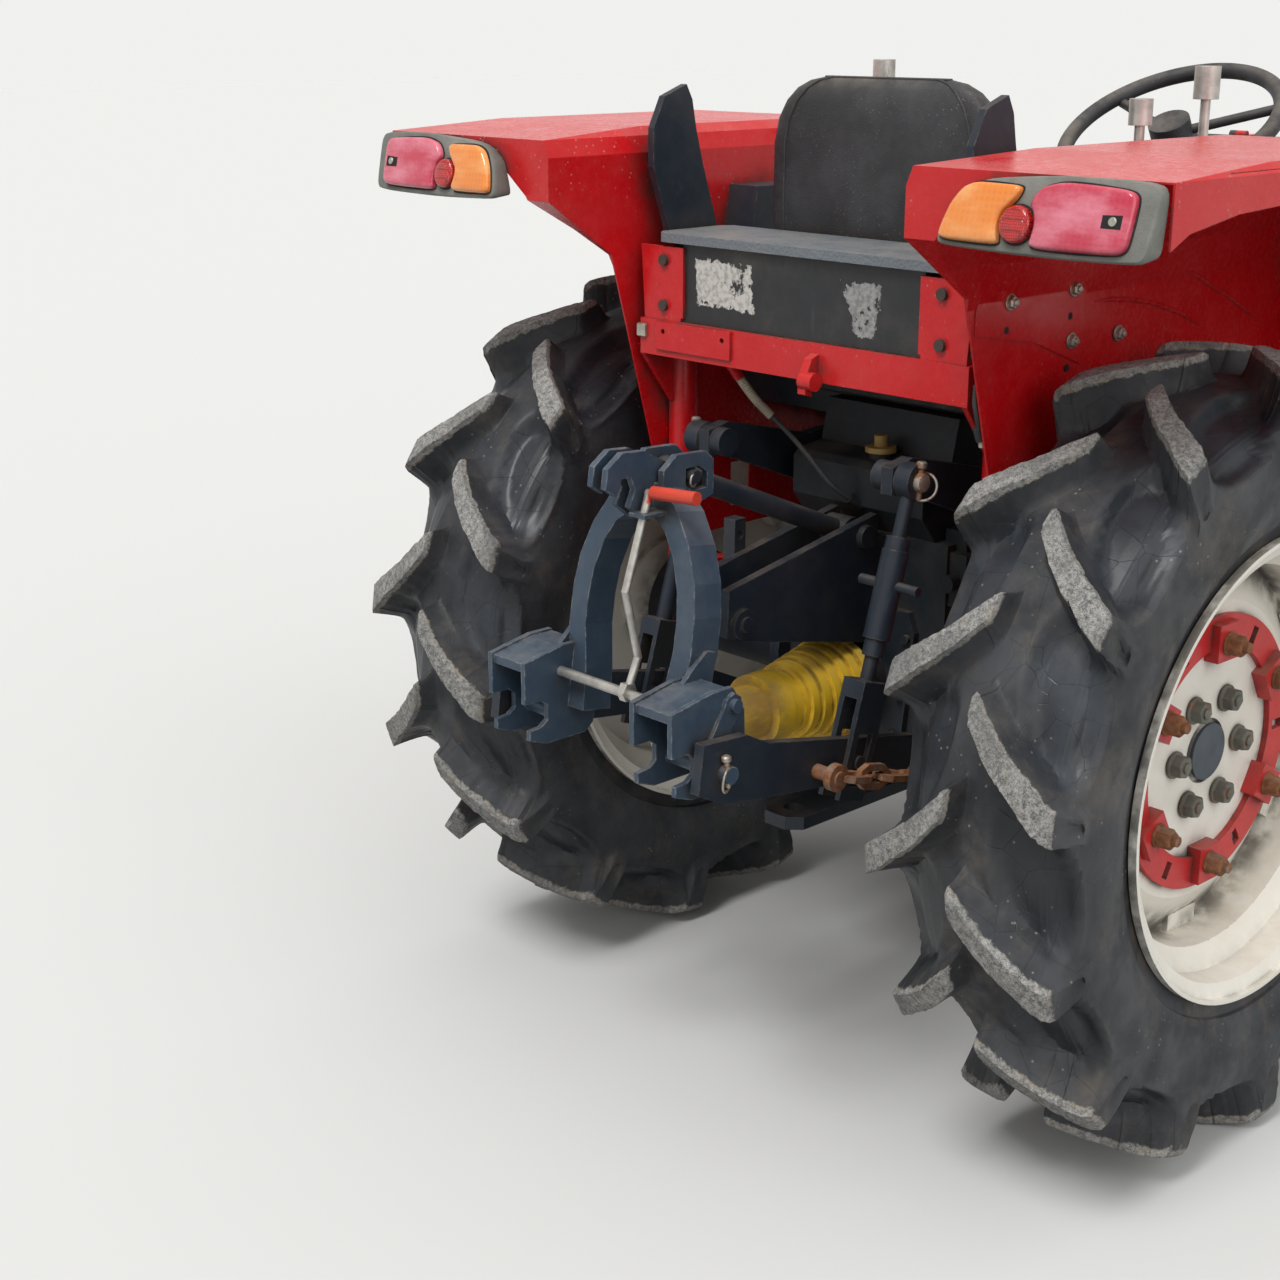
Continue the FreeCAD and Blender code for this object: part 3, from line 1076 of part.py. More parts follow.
# Check chains beside the lower links: eye on the link, three chain links, a bar to the pivot
chain_x = size("link_x") + half_t + 36
chain_a = Vector(chain_x, 426, 541)
chain_b = Vector(chain_x, size("link_front_y"), size("link_front_z"))
chain_way = (chain_b - chain_a).normalize()
chain_up = Vector(1, 0, 0).cross(chain_way)


def chain_link(name, at, flat):
    """Long link of square bar; flat links lie across the others."""
    side = Vector(1, 0, 0) if flat else chain_up
    other = chain_up if flat else Vector(1, 0, 0)

    def ring(half_length, half_width, thick):
        corners = []
        for u, v in ((1, 0.5), (0.55, 1), (-0.55, 1), (-1, 0.5), (-1, -0.5), (-0.55, -1), (0.55, -1),
                     (1, -0.5)):
            corners.append(at + chain_way * (u * half_length) + side * (v * half_width) - other * (thick / 2))
        return Part.Face(Part.makePolygon(corners + corners[:1])).extrude(other * thick)

    return solid(name, ring(30, 18, 9).cut(ring(20, 8.6, 12)))


chain = [chain_link("chain_link_%d" % i, chain_a + chain_way * (36 + 40 * i), i % 2 == 0) for i in range(3)]
chain_eye = Part.makeCylinder(10, 44, Vector(link_x + half_t + size("gap"), chain_a.y, chain_a.z),
                              Vector(1, 0, 0))
chain_knob = Part.makeCylinder(19, 12, Vector(chain_x - 7, chain_a.y, chain_a.z), Vector(1, 0, 0))
bar_start = chain_a + chain_way * 138
chain_bar = Part.makeCylinder(8, (chain_b - bar_start).Length - 16, bar_start, chain_way)
chain_nut = Part.makeCylinder(14, 34, bar_start + chain_way * 30, chain_way)
chain_end = Part.makeCylinder(23, 14, Vector(chain_x - 7, chain_b.y, chain_b.z), Vector(1, 0, 0))
end_hole = Part.makeCylinder(size("link_pin_r") + size("fit"), 30,
                             Vector(chain_x - 15, chain_b.y, chain_b.z),
                             Vector(1, 0, 0))
bar_solid = solid("chain_bar", chain_bar.fuse([chain_nut, chain_end]).cut(end_hole))
eye_solid = solid("chain_eye", chain_eye.fuse(chain_knob))
chain_set = join("chain_set", chain + [bar_solid, eye_solid])
piece(both("check_chains_form", chain_set), "check_chains")

bracket = plate("top_bracket_plate", "yz", [
    ("case_rear", "612"), ("case_rear", "770"), ("123", "815"), ("429", "757"), ("432", "690"),
    ("392", "677"),
], "bracket_gap", "bracket_gap + bracket_t")
back = box("top_bracket_back", "-bracket_gap", "bracket_gap", "120 + gap", "130", "620", "740")
back_low = box("top_bracket_low", "-bracket_gap", "bracket_gap", "330", "345", "662", "700")
cross_plate = plate("top_bracket_cross", "yz",
                    [("226", "738"), ("226", "750"), ("300", "736"), ("300", "724")],
                    "-bracket_gap", "bracket_gap")
rear_sleeve = rod("top_bracket_sleeve", "x", "22", "-bracket_gap - bracket_t - 8",
                  "-bracket_gap - bracket_t + 2", "403", "706")
bracket_head = rod("top_bracket_head", "x", "17", "-bracket_gap - bracket_t - 10",
                   "-bracket_gap - bracket_t + 2",
                   "top_front_y", "top_front_z")
rear_bolt = rod("top_bracket_bolt", "x", "11", "-bracket_gap - bracket_t - 12",
                "bracket_gap + bracket_t + 12", "403", "706")
top_pin = rod("top_bracket_pin", "x", "top_pin_r + 1", "-bracket_gap - bracket_t - 10",
              "bracket_gap + bracket_t + 10",
              "top_front_y", "top_front_z")
drilled = box("drilled_post", "bracket_gap + bracket_t - 2", "bracket_gap + bracket_t + 20", "309", "331",
              "690", "825")
drill_a = rod("drilled_hole", "x", "6", "bracket_gap", "bracket_gap + bracket_t + 40", "320", "802")
drill_b = rod("drilled_hole_low", "x", "6", "bracket_gap + bracket_t + 0.5", "bracket_gap + bracket_t + 40",
              "320", "764")
drilled = cut("drilled_post_bored", drilled, [drill_a, drill_b])
room = plate("case_room", "yz", [
    ("60", "600"), ("60", "822"), ("120 + gap", "822"), ("120 + gap", "781"), ("case_rear + gap", "779"),
    ("case_rear + gap", "670 + gap"), ("case_rear + 12 + gap", "670 + gap"),
    ("case_rear + 12 + gap", "600"),
], "-60", "60")
bracket_all = join("top_bracket_set", [bracket, mirrored("top_bracket_other", bracket), back, back_low,
                                       cross_plate, rear_sleeve, bracket_head, drilled, rear_bolt, top_pin])
piece(cut("top_bracket_form", bracket_all, [room]), "top_link_bracket")

top_a = (size("top_front_y"), size("top_front_z"))
top_b = (size("top_rear_y"), size("top_rear_z"))
bar = sloped("top_link_bar", 15, *top_a, *top_b, 0, 14, 14)
eye_a = rod("top_eye_front", "x", "24", "-bracket_gap + 8", "bracket_gap - 8", "top_front_y", "top_front_z")
eye_b = rod("top_eye_rear", "x", "20", "-20", "20", "top_rear_y", "top_rear_z")
top_hole = rod("top_eye_hole", "x", "top_pin_r + 1 + fit", "-60", "60", "top_front_y", "top_front_z")
end_pin = rod("top_end_pin", "x", "top_pin_r", "-42", "42", "top_rear_y", "top_rear_z")
top_link = cut("top_link_bored", join("top_link_set", [bar, eye_a, eye_b, end_pin]), [top_hole])
piece(top_link, "top_link")

# Black cable from the gear case to the rear beam
def cable(name, route, radius):
    edges = []
    start = route[0]
    for before, corner, after in zip(route, route[1:], route[2:]):
        way_in = (corner - before).normalize()
        way_out = (after - corner).normalize()
        half_turn = way_in.getAngle(way_out) / 2
        reach = 0.45 * min((corner - before).Length, (after - corner).Length)
        bend = reach / math.tan(half_turn)
        print("%s bend radius %.0f" % (name, bend))
        middle = corner + (way_out - way_in).normalize() * bend * (1 / math.cos(half_turn) - 1)
        edges.append(Part.LineSegment(start, corner - way_in * reach).toShape())
        edges.append(Part.Arc(corner - way_in * reach, middle, corner + way_out * reach).toShape())
        start = corner + way_out * reach
    edges.append(Part.LineSegment(start, route[-1]).toShape())
    path = Part.Wire(edges)
    section = Part.Wire(Part.Circle(route[0], route[1] - route[0], radius).toShape())
    tube = path.makePipeShell([section], True, True)
    print("%s volume %.0f, section times length %.0f" % (name, tube.Volume,
                                                         math.pi * radius ** 2 * path.Length))
    return solid(name + "_form", tube)


piece(cable("hitch_cable", CABLE_ROUTE, size("cable_r")), "hitch_cable")

# Quick coupler: an arch with two hook boxes
lean = number("coupler_lean")
arch_right = [
    ("arch_half_w - 11", "-30"), ("arch_half_w - 8", "30"), ("arch_half_w", "90"),
    ("arch_half_w - 1", "140"),
    ("arch_half_w - 8", "184"), ("arch_half_w - 27", "232"), ("arch_half_w - 54", "272"),
    ("34", "arch_rise - 10"),
]
arch_inner = [
    ("18", "arch_rise - 46"), ("46", "arch_rise - 66"), ("arch_half_w - 53", "212"),
    ("arch_half_w - 38", "168"),
    ("arch_half_w - 33", "130"), ("arch_half_w - 33", "90"), ("arch_half_w - 43", "30"),
    ("arch_half_w - 47", "-30"),
]
arch_points = arch_right + [("0", "arch_rise")]
arch_points += [("-(%s)" % x, z) for x, z in reversed(arch_right)]
arch_points += [("-(%s)" % x, z) for x, z in reversed(arch_inner)]
arch_points += [("0", "arch_rise - 42")] + arch_inner
arch = leaning("arch", arch_points, "-arch_depth / 2", "arch_depth / 2", lean, "arch_y", "arch_z")
pin_room = box("arch_pin_room", "-48", "48", "top_rear_y - 30", "top_rear_y + 15", "top_rear_z - 34",
               "top_rear_z + 40")
eye_room = box("arch_eye_room", "-24", "24", "top_rear_y - 40", "top_rear_y + 27", "top_rear_z - 44",
               "top_rear_z + 40")
arch = cut("arch_cut", arch, [pin_room, eye_room])
cheek_points = [
    ("548", "560"), ("538", "600"), ("540", "650"), ("562", "684"), ("600", "684"), ("rear_reach", "671"),
    ("rear_reach", "612"), ("642", "612"), ("631", "604"), ("631", "582"), ("642", "574"),
    ("rear_reach - 8", "572"),
    ("rear_reach - 8", "558"), ("634", "548"), ("562", "548"),
]
cheek_a = plate("hook_cheek_in", "yz", cheek_points, "hook_x - hook_half_w", "hook_x - hook_half_w + 8")
cheek_b = plate("hook_cheek_out", "yz", cheek_points, "hook_x + hook_half_w - 8", "hook_x + hook_half_w")
hook_web = plate("hook_web", "yz", [
    ("540", "600"), ("541", "648"), ("551", "648"), ("551", "600"), ("572", "558"), ("562", "550"),
    ("549", "562"),
], "hook_x - hook_half_w + 2", "hook_x + hook_half_w - 2")
hook_roof = plate("hook_roof", "yz", [
    ("543", "652"), ("562", "681"), ("600", "681"), ("rear_reach - 4", "668"), ("rear_reach - 4", "656"),
    ("600", "669"), ("568", "669"), ("553", "648"),
], "hook_x - hook_half_w + 2", "hook_x + hook_half_w - 2")
hook_gusset = plate("hook_gusset", "yz", [
    ("545", "660"), ("534", "712"), ("552", "716"), ("574", "700"), ("600", "676"), ("590", "660"),
], "arch_half_w - 2", "arch_half_w + 6")
hook_pin = rod("hook_pin", "x", "link_pin_r", "hook_x - hook_half_w + 2", "link_x + link_t / 2 + 14",
               "link_rear_y",
               "link_rear_z")
latch = plate("hook_latch", "yz", [
    ("552", "652"), ("552", "670"), ("564", "678"), ("578", "672"), ("584", "658"), ("614", "612"),
    ("604", "598"),
    ("590", "602"),
], "hook_x + hook_half_w + gap", "hook_x + hook_half_w + 6")
latch_pin = rod("latch_pin", "x", "9", "hook_x + hook_half_w - 10", "hook_x + hook_half_w + 14", "566",
                "662")
hook = join("hook_set", [cheek_a, cheek_b, hook_web, hook_roof, hook_gusset, hook_pin, latch, latch_pin])
ear = plate("coupler_ear", "yz", [
    ("top_rear_y - 40", "top_rear_z - 30"), ("top_rear_y - 40", "top_rear_z + 18"),
    ("top_rear_y - 26", "top_rear_z + 30"),
    ("top_rear_y + 28", "top_rear_z + 32"), ("top_rear_y + 52", "top_rear_z + 14"),
    ("top_rear_y + 56", "top_rear_z - 40"),
    ("top_rear_y + 10", "top_rear_z - 46"),
], "24", "34")
ear_slot = plate("coupler_ear_slot", "yz", [
    ("top_rear_y - 28", "top_rear_z - top_pin_r - 10"), ("top_rear_y - 28", "top_rear_z + 2"),
    ("top_rear_y - 12", "top_rear_z + top_pin_r + 3"), ("top_rear_y + 12", "top_rear_z + top_pin_r + 3"),
    ("top_rear_y + 12", "top_rear_z - top_pin_r - 2"), ("top_rear_y", "top_rear_z - top_pin_r - 10"),
], "10", "50")
ear = cut("coupler_ear_cut", ear, [ear_slot])
upper_hook = plate("upper_hook", "yz", [
    ("526", "884"), ("520", "946"), ("566", "968"), ("602", "970"), ("628", "952"), ("632", "926"),
    ("614", "914"),
    ("604", "936"), ("588", "936"), ("580", "918"), ("590", "896"), ("560", "872"),
], "8", "18")
guide = box("release_guide", "-46", "-16", "530", "590", "885", "890")
grip_at = (567, 914)
route = [grip_at, (609, 789), (587, 695), (607, 648)]
rod_x = -30
release = []
holes = []
for i in range(3):
    (ya, za), (yb, zb) = route[i], route[i + 1]
    release.append(sloped("release_rod_%d" % i, 5.5, ya, za, yb, zb, rod_x, -2, -2))
    holes.append(sloped("release_room_%d" % i, 5.5 + size("gap"), ya, za, yb, zb, rod_x, -3, -3))
grip = Part.makeCylinder(9, 78, Vector(rod_x - 8, *grip_at) + Vector(0, 0, 2), Vector(-1, -0.04, 0.06))
grip_stem = Part.makeCylinder(5.5, 14, Vector(rod_x + 3, *grip_at), Vector(-1, 0, 0))
release.append(solid("release_grip", grip.fuse(grip_stem)))
cross_rod = rod("release_shaft", "x", "7", "-hook_x + hook_half_w + gap", "hook_x - hook_half_w - gap",
                "607", "648")
crank = plate("release_crank", "yz", [
    ("596", "652"), ("600", "662"), ("614", "664"), ("622", "652"), ("616", "640"), ("602", "638"),
], "-38", "-26")
coupler = join("coupler_form", [arch, upper_hook, mirrored("upper_hook_other", upper_hook), guide,
                                hook, mirrored("hook_other", hook), ear,
                                mirrored("coupler_ear_other", ear)])
piece(cut("coupler_bored", coupler, [holes[0], eye_room]), "coupler")
piece(join("release_rod_form", release + [cross_rod, crank]), "release_rod")

# Drive shaft with its guard
guard_tube = rod("guard_tube", "y", "guard_r", "shaft_y + 150", "430", "0", "shaft_z")
guard_collar = rod("guard_collar", "y", "guard_r + 13", "shaft_y + 146", "shaft_y + 182", "0", "shaft_z")
steps = []
for i in range(6):
    steps.append(rod("guard_rib_%d" % i, "y", "bell_r - %d" % (4 * i), "shaft_y + %s" % (0.3 + 20 * i),
                     "shaft_y + %d" % (20 * i + 14), "0", "shaft_z"))
    steps.append(rod("guard_fold_%d" % i, "y", "bell_r - %d" % (7 + 4 * i), "shaft_y + %d" % (20 * i + 8),
                     "shaft_y + %d" % (20 * i + 24), "0", "shaft_z"))
guard_neck = rod("guard_neck", "y", "guard_r + 8", "shaft_y + 120", "shaft_y + 150", "0", "shaft_z")
guard_room = rod("guard_room", "y", "bell_r - 32", "shaft_y + 6", "shaft_y + 126", "0", "shaft_z")
guard_mouth = rod("guard_mouth", "y", "46", "shaft_y - 20", "shaft_y + 20", "0", "shaft_z")
guard_bore = rod("guard_bore", "y", "guard_r - 5", "shaft_y - 20", "600", "0", "shaft_z")
piece(cut("guard_form", join("guard_set", [guard_tube, guard_collar, guard_neck] + steps),
          [guard_room, guard_mouth, guard_bore]), "shaft_guard")
inner_bar = rod("drive_bar", "y", "24", "shaft_y - 10", "470", "0", "shaft_z")
yoke_a = rod("drive_yoke_front", "y", "38", "shaft_y - 16", "shaft_y + 50", "0", "shaft_z")
yoke_b = rod("drive_yoke_rear", "y", "40", "436", "500", "0", "shaft_z")
piece(join("drive_form", [inner_bar, yoke_a, yoke_b]), "drive_shaft")

drawbar = plate("drawbar_form", "xy", [
    ("-40", "-200"), ("40", "-200"), ("40", "case_rear + 170"), ("20", "case_rear + 190"),
    ("-20", "case_rear + 190"),
    ("-40", "case_rear + 170"),
], "case_bottom - 24", "case_bottom - 4")
drawbar_hanger = box("drawbar_hanger", "-60", "60", "0 - 60", "-10", "case_bottom - 4 - 24", "case_bottom")
pin_hole = rod("drawbar_hole", "z", "15", "300", "450", "0", "case_rear + 150")
piece(cut("drawbar_bored", join("drawbar_set", [drawbar, drawbar_hanger]), [pin_hole]), "drawbar")

# Check and export
doc.recompute()
os.makedirs("parts", exist_ok=True)
for obj in doc.Objects:
    bad = [word for word in obj.State if word in ("Invalid", "Error")]
    if bad:
        raise RuntimeError("%s: %s" % (obj.Label, bad))
for obj in NODES:
    shape = obj.Shape
    if shape.isNull() or not shape.isValid():
        raise RuntimeError("%s has no valid shape" % obj.Label)
    shape.exportStep("parts/%s.step" % obj.Label)
    box_ = shape.BoundBox
    print("%-20s solids %d  x %.0f..%.0f  y %.0f..%.0f  z %.0f..%.0f" % (
        obj.Label, len(shape.Solids), box_.XMin, box_.XMax, box_.YMin, box_.YMax, box_.ZMin, box_.ZMax))
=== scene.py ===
import json
import math

import bmesh
import bpy
import numpy as np
from mathutils import Matrix, Vector


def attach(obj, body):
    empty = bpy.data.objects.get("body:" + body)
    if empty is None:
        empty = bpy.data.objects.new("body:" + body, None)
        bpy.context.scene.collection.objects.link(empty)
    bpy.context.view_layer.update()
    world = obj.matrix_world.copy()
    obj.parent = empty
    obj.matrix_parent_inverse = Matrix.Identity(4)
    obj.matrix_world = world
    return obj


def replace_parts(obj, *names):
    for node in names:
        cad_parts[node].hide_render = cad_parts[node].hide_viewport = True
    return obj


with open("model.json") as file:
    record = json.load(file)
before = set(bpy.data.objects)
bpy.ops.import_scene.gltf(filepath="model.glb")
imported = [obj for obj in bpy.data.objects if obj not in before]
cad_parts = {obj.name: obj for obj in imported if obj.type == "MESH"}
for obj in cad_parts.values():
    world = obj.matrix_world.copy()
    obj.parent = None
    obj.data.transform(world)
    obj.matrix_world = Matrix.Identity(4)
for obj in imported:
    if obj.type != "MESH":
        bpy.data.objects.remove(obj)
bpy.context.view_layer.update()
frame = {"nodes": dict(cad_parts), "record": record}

nodes = frame["nodes"]

# The tractor's own drawing counts from the rear axle; the frame counts from the middle of its length.
AXLE_Y = 0.7705


def at(x, y, z):
    """A point given in millimetres from the rear axle, on the ground, as a point of the frame."""
    return Vector((x / 1000, y / 1000 + AXLE_Y, z / 1000))


# Finishes
class Graph:
    """One material's node tree, with short calls for the patterns that the finishes share."""

    def __init__(self, name, roughness=0.5, metallic=0.0, shine=0.5):
        self.material = bpy.data.materials.new(name)
        self.material.use_nodes = True
        tree = self.material.node_tree
        self.nodes = tree.nodes
        self.links = tree.links
        self.surface = self.nodes["Principled BSDF"]
        self.surface.inputs["Roughness"].default_value = roughness
        self.surface.inputs["Metallic"].default_value = metallic
        self.surface.inputs["Specular IOR Level"].default_value = shine
        self.place = self.nodes.new("ShaderNodeTexCoord").outputs["Object"]
        self.facing = self.nodes.new("ShaderNodeNewGeometry").outputs["Normal"]

    def put(self, socket, value):
        if isinstance(value, bpy.types.NodeSocket):
            self.links.new(value, socket)
        elif isinstance(value, tuple) and len(value) == 3 and socket.type == "RGBA":
            socket.default_value = (*value, 1.0)
        else:
            socket.default_value = value

    def maths(self, operation, a, b=0.0, clamp=False):
        node = self.nodes.new("ShaderNodeMath")
        node.operation = operation
        node.use_clamp = clamp
        self.put(node.inputs[0], a)
        self.put(node.inputs[1], b)
        return node.outputs[0]

    def vector(self, operation, a, b=(0.0, 0.0, 0.0)):
        node = self.nodes.new("ShaderNodeVectorMath")
        node.operation = operation
        self.put(node.inputs[0], a)
        self.put(node.inputs[1], b)
        return node.outputs["Value" if operation in ("LENGTH", "DOT_PRODUCT") else "Vector"]

    def axes(self, vector):
        node = self.nodes.new("ShaderNodeSeparateXYZ")
        self.put(node.inputs[0], vector)
        return node.outputs

    def noise(self, scale, detail=3.0, rough=0.55, stretch=(1.0, 1.0, 1.0), shift=0.0):
        node = self.nodes.new("ShaderNodeTexNoise")
        node.inputs["Scale"].default_value = scale
        node.inputs["Detail"].default_value = detail
        node.inputs["Roughness"].default_value = rough
        moved = self.vector("ADD", self.place, (shift, shift * 0.7, shift * 1.3))
        self.put(node.inputs["Vector"], self.vector("MULTIPLY", moved, stretch))
        return node.outputs["Fac"]

    def cells(self, scale, feature="F1", stretch=(1.0, 1.0, 1.0), loose=1.0):
        node = self.nodes.new("ShaderNodeTexVoronoi")
        node.feature = feature
        node.inputs["Scale"].default_value = scale
        node.inputs["Randomness"].default_value = loose
        self.put(node.inputs["Vector"], self.vector("MULTIPLY", self.place, stretch))
        return node.outputs["Distance"]

    def share(self, value, low, high, top=1.0):
        """0 where value is at low, top where it is at high, smooth between."""
        node = self.nodes.new("ShaderNodeMapRange")
        node.interpolation_type = "SMOOTHSTEP"
        self.put(node.inputs["Value"], value)
        for word, number in (("From Min", low), ("From Max", high), ("To Min", 0.0), ("To Max", top)):
            node.inputs[word].default_value = number
        return node.outputs["Result"]

    def within(self, value, low, high, soft=0.0004):
        """1 where value lies between low and high."""
        return self.both(self.share(value, low - soft, low + soft), self.share(value, high + soft, high - soft))

    def both(self, *shares):
        result = shares[0]
        for other in shares[1:]:
            result = self.maths("MULTIPLY", result, other)
        return result

    def either(self, *shares):
        result = shares[0]
        for other in shares[1:]:
            result = self.maths("MAXIMUM", result, other)
        return result

    def mix(self, share, a, b):
        node = self.nodes.new("ShaderNodeMix")
        node.data_type = "RGBA"
        self.put(node.inputs["Factor"], share)
        self.put(node.inputs[6], a)
        self.put(node.inputs[7], b)
        return node.outputs[2]

    def joined(self, x, y, z):
        node = self.nodes.new("ShaderNodeCombineXYZ")
        for socket, value in zip(node.inputs, (x, y, z)):
            self.put(socket, value)
        return node.outputs[0]

    def blend(self, share, a, b):
        node = self.nodes.new("ShaderNodeMix")
        node.data_type = "FLOAT"
        self.put(node.inputs[0], share)
        self.put(node.inputs[2], a)
        self.put(node.inputs[3], b)
        return node.outputs[0]

    def up(self, low=0.2, high=0.95):
        """1 on faces that look up."""
        return self.share(self.axes(self.facing)[2], low, high)

    def rounded(self, radius):
        node = self.nodes.new("ShaderNodeBevel")
        node.samples = 4
        node.inputs["Radius"].default_value = radius
        return node.outputs["Normal"]

    def edge(self, radius=0.004):
        """1 along edges, from how far the rounded normal leaves the true one."""
        return self.share(self.vector("DOT_PRODUCT", self.rounded(radius), self.facing), 0.97, 0.8)

    def hollow(self, distance=0.04, low=0.9, high=0.4):
        """1 in corners and narrow gaps."""
        node = self.nodes.new("ShaderNodeAmbientOcclusion")
        node.samples = 6
        node.inputs["Distance"].default_value = distance
        return self.share(node.outputs["AO"], low, high)

    def carve(self, height, depth, radius=0.0012):
        """Sets the surface's normal from a height in units of depth, over softly rounded edges."""
        node = self.nodes.new("ShaderNodeBump")
        node.inputs["Strength"].default_value = 1.0
        node.inputs["Distance"].default_value = depth
        self.put(node.inputs["Height"], height)
        self.put(node.inputs["Normal"], self.rounded(radius))
        self.put(self.surface.inputs["Normal"], node.outputs["Normal"])

    def finish(self, colour, roughness):
        self.put(self.surface.inputs["Base Color"], colour)
        self.put(self.surface.inputs["Roughness"], roughness)
        return self.material


DUST = (0.30, 0.245, 0.19)
GRIME = (0.035, 0.028, 0.022)
RUST = (0.17, 0.065, 0.028)


def paint(name, colour, faded, under, dusty=0.35, worn=0.6, gloss=0.32, splash=0.0, dust=DUST, marks=None):
    """Old sheet-metal paint: faded patches, dust on top, grime in corners, chipped edges, scratches."""
    g = Graph(name, shine=0.4)
    patches = g.share(g.noise(4.0, 5.0, 0.6), 0.42, 0.75)
    body = g.mix(g.maths("MULTIPLY", patches, 0.24), colour, faded)
    mottle = g.share(g.noise(38.0, 4.0, 0.65, shift=3.1), 0.4, 0.75, 0.22)
    body = g.mix(mottle, body, faded)
    grime = g.both(g.hollow(0.05), g.share(g.noise(22.0, 4.0, shift=1.7), 0.3, 0.62, 0.85))
    body = g.mix(grime, body, GRIME)
    lying = g.both(g.up(0.25, 0.9), g.share(g.noise(14.0, 6.0, 0.68, shift=5.3), 0.32, 0.75, dusty * 1.6))
    film = g.share(g.noise(7.0, 6.0, 0.7, shift=8.2), 0.45, 0.8, dusty * 0.55)
    dusted = g.either(lying, film)
    body = g.mix(dusted, body, dust)
    if splash:
        dots = g.both(g.share(g.cells(95.0), 0.16, 0.06), g.share(g.noise(9.0, 3.0, shift=2.2), 0.45, 0.6, splash))
        body = g.mix(dots, body, (0.62, 0.42, 0.36))
    scratch = g.both(
        g.share(g.noise(55.0, 2.0, stretch=(1.0, 0.035, 0.11), shift=6.4), 0.655, 0.69),
        g.share(g.noise(6.0, 3.0, shift=9.5), 0.5, 0.62, 0.55))
    body = g.mix(scratch, body, faded)
    chips = g.both(g.edge(0.0035), g.share(g.noise(70.0, 4.0, 0.7, shift=4.4), 0.62 - 0.25 * worn, 0.66))
    body = g.mix(chips, body, under)
    rough = g.blend(g.either(dusted, grime), gloss, 0.82)
    rough = g.blend(g.share(g.noise(120.0, 3.0), 0.35, 0.75, 0.25), rough, 0.7)
    relief = g.maths("SUBTRACT", g.maths("MULTIPLY", g.noise(260.0, 2.0), 0.25), g.maths("MULTIPLY", chips, 0.8))
    relief = g.maths("SUBTRACT", relief, g.maths("MULTIPLY", scratch, 0.4))
    if marks:
        body, rough, relief = marks(g, body, rough, relief)
    g.carve(relief, 0.0004)
    return g.finish(body, rough)


def metal(name, colour, rust_share, roughness=0.42, metallic=0.85, pitted=0.5, marks=None):
    """Bare or plated steel with rust growing from corners and patches."""
    g = Graph(name, metallic=metallic)
    tone = g.mix(g.share(g.noise(30.0, 5.0, 0.6), 0.35, 0.7), colour, tuple(c * 0.62 for c in colour))
    spread = g.maths("ADD", g.noise(26.0, 6.0, 0.7, shift=2.7), g.maths("MULTIPLY", g.hollow(0.02), 0.16))
    rust = g.share(spread, 0.72 - 0.42 * rust_share, 0.82 - 0.36 * rust_share)
    rusty = g.mix(g.share(g.noise(90.0, 4.0), 0.35, 0.7), RUST, (0.30, 0.13, 0.055))
    body = g.mix(rust, tone, rusty)
    body = g.mix(g.both(g.up(), g.share(g.noise(18.0, 5.0, shift=7.9), 0.4, 0.8, 0.4)), body, DUST)
    g.put(g.surface.inputs["Metallic"], g.blend(rust, metallic, 0.05))
    rough = g.blend(rust, g.blend(g.noise(70.0, 4.0), roughness - 0.1, roughness + 0.15), 0.85)
    relief = g.maths("MULTIPLY", g.noise(150.0, 5.0, 0.7), g.blend(rust, 0.25 * pitted, 1.0))
    if marks:
        body, rough, relief = marks(g, body, rough, relief)
    g.carve(relief, 0.0009)
    return g.finish(body, rough)


def plastic(name, colour, pale, grain=600.0, roughness=0.55, dusty=0.4, dirt=GRIME, marks=None):
    """Moulded plastic or vinyl with a fine grain, a bleached bloom and dust."""
    g = Graph(name)
    body = g.mix(g.share(g.noise(9.0, 5.0, 0.65), 0.35, 0.75), colour, pale)
    body = g.mix(g.both(g.hollow(0.03), g.share(g.noise(25.0, 4.0), 0.3, 0.6, 0.8)), body, dirt)
    lying = g.both(g.up(0.1, 0.9), g.share(g.noise(16.0, 6.0, 0.7, shift=3.3), 0.35, 0.75, dusty))
    specks = g.both(g.share(g.cells(140.0), 0.2, 0.08), g.share(g.noise(12.0, 3.0, shift=4.1), 0.4, 0.65, dusty))
    body = g.mix(g.either(lying, specks), body, DUST)
    edge = g.both(g.edge(0.003), g.share(g.noise(80.0, 4.0), 0.4, 0.6, 0.7))
    body = g.mix(edge, body, pale)
    rough = g.blend(g.either(lying, g.share(g.noise(45.0, 4.0), 0.4, 0.7, 0.5)), roughness, 0.85)
    relief = g.maths("ADD", g.cells(grain), g.maths("MULTIPLY", g.noise(70.0), 0.6))
    if marks:
        body, rough, relief = marks(g, body, rough, relief)
    g.carve(relief, 0.0003)
    return g.finish(body, rough)


def lens(name, colour, pale, deep):
    """Ribbed lamp plastic with milky scuffs."""
    g = Graph(name)
    g.surface.inputs["Coat Weight"].default_value = 0.5
    g.surface.inputs["Coat Roughness"].default_value = 0.06
    x, y, z = g.axes(g.place)
    prisms = g.both(g.maths("PINGPONG", g.maths("MULTIPLY", x, 260.0), 1.0),
                    g.maths("PINGPONG", g.maths("MULTIPLY", z, 260.0), 1.0))
    scuffs = g.share(g.noise(11.0, 5.0, 0.6, stretch=(1.0, 1.0, 2.4), shift=4.7), 0.38, 0.74, 0.7)
    body = g.mix(g.maths("MULTIPLY", prisms, 0.35), colour, deep)
    body = g.mix(scuffs, body, pale)
    body = g.mix(g.edge(0.004), body, deep)
    g.carve(g.maths("MULTIPLY", prisms, 0.5), 0.0003)
    return g.finish(body, g.blend(scuffs, 0.12, 0.34))


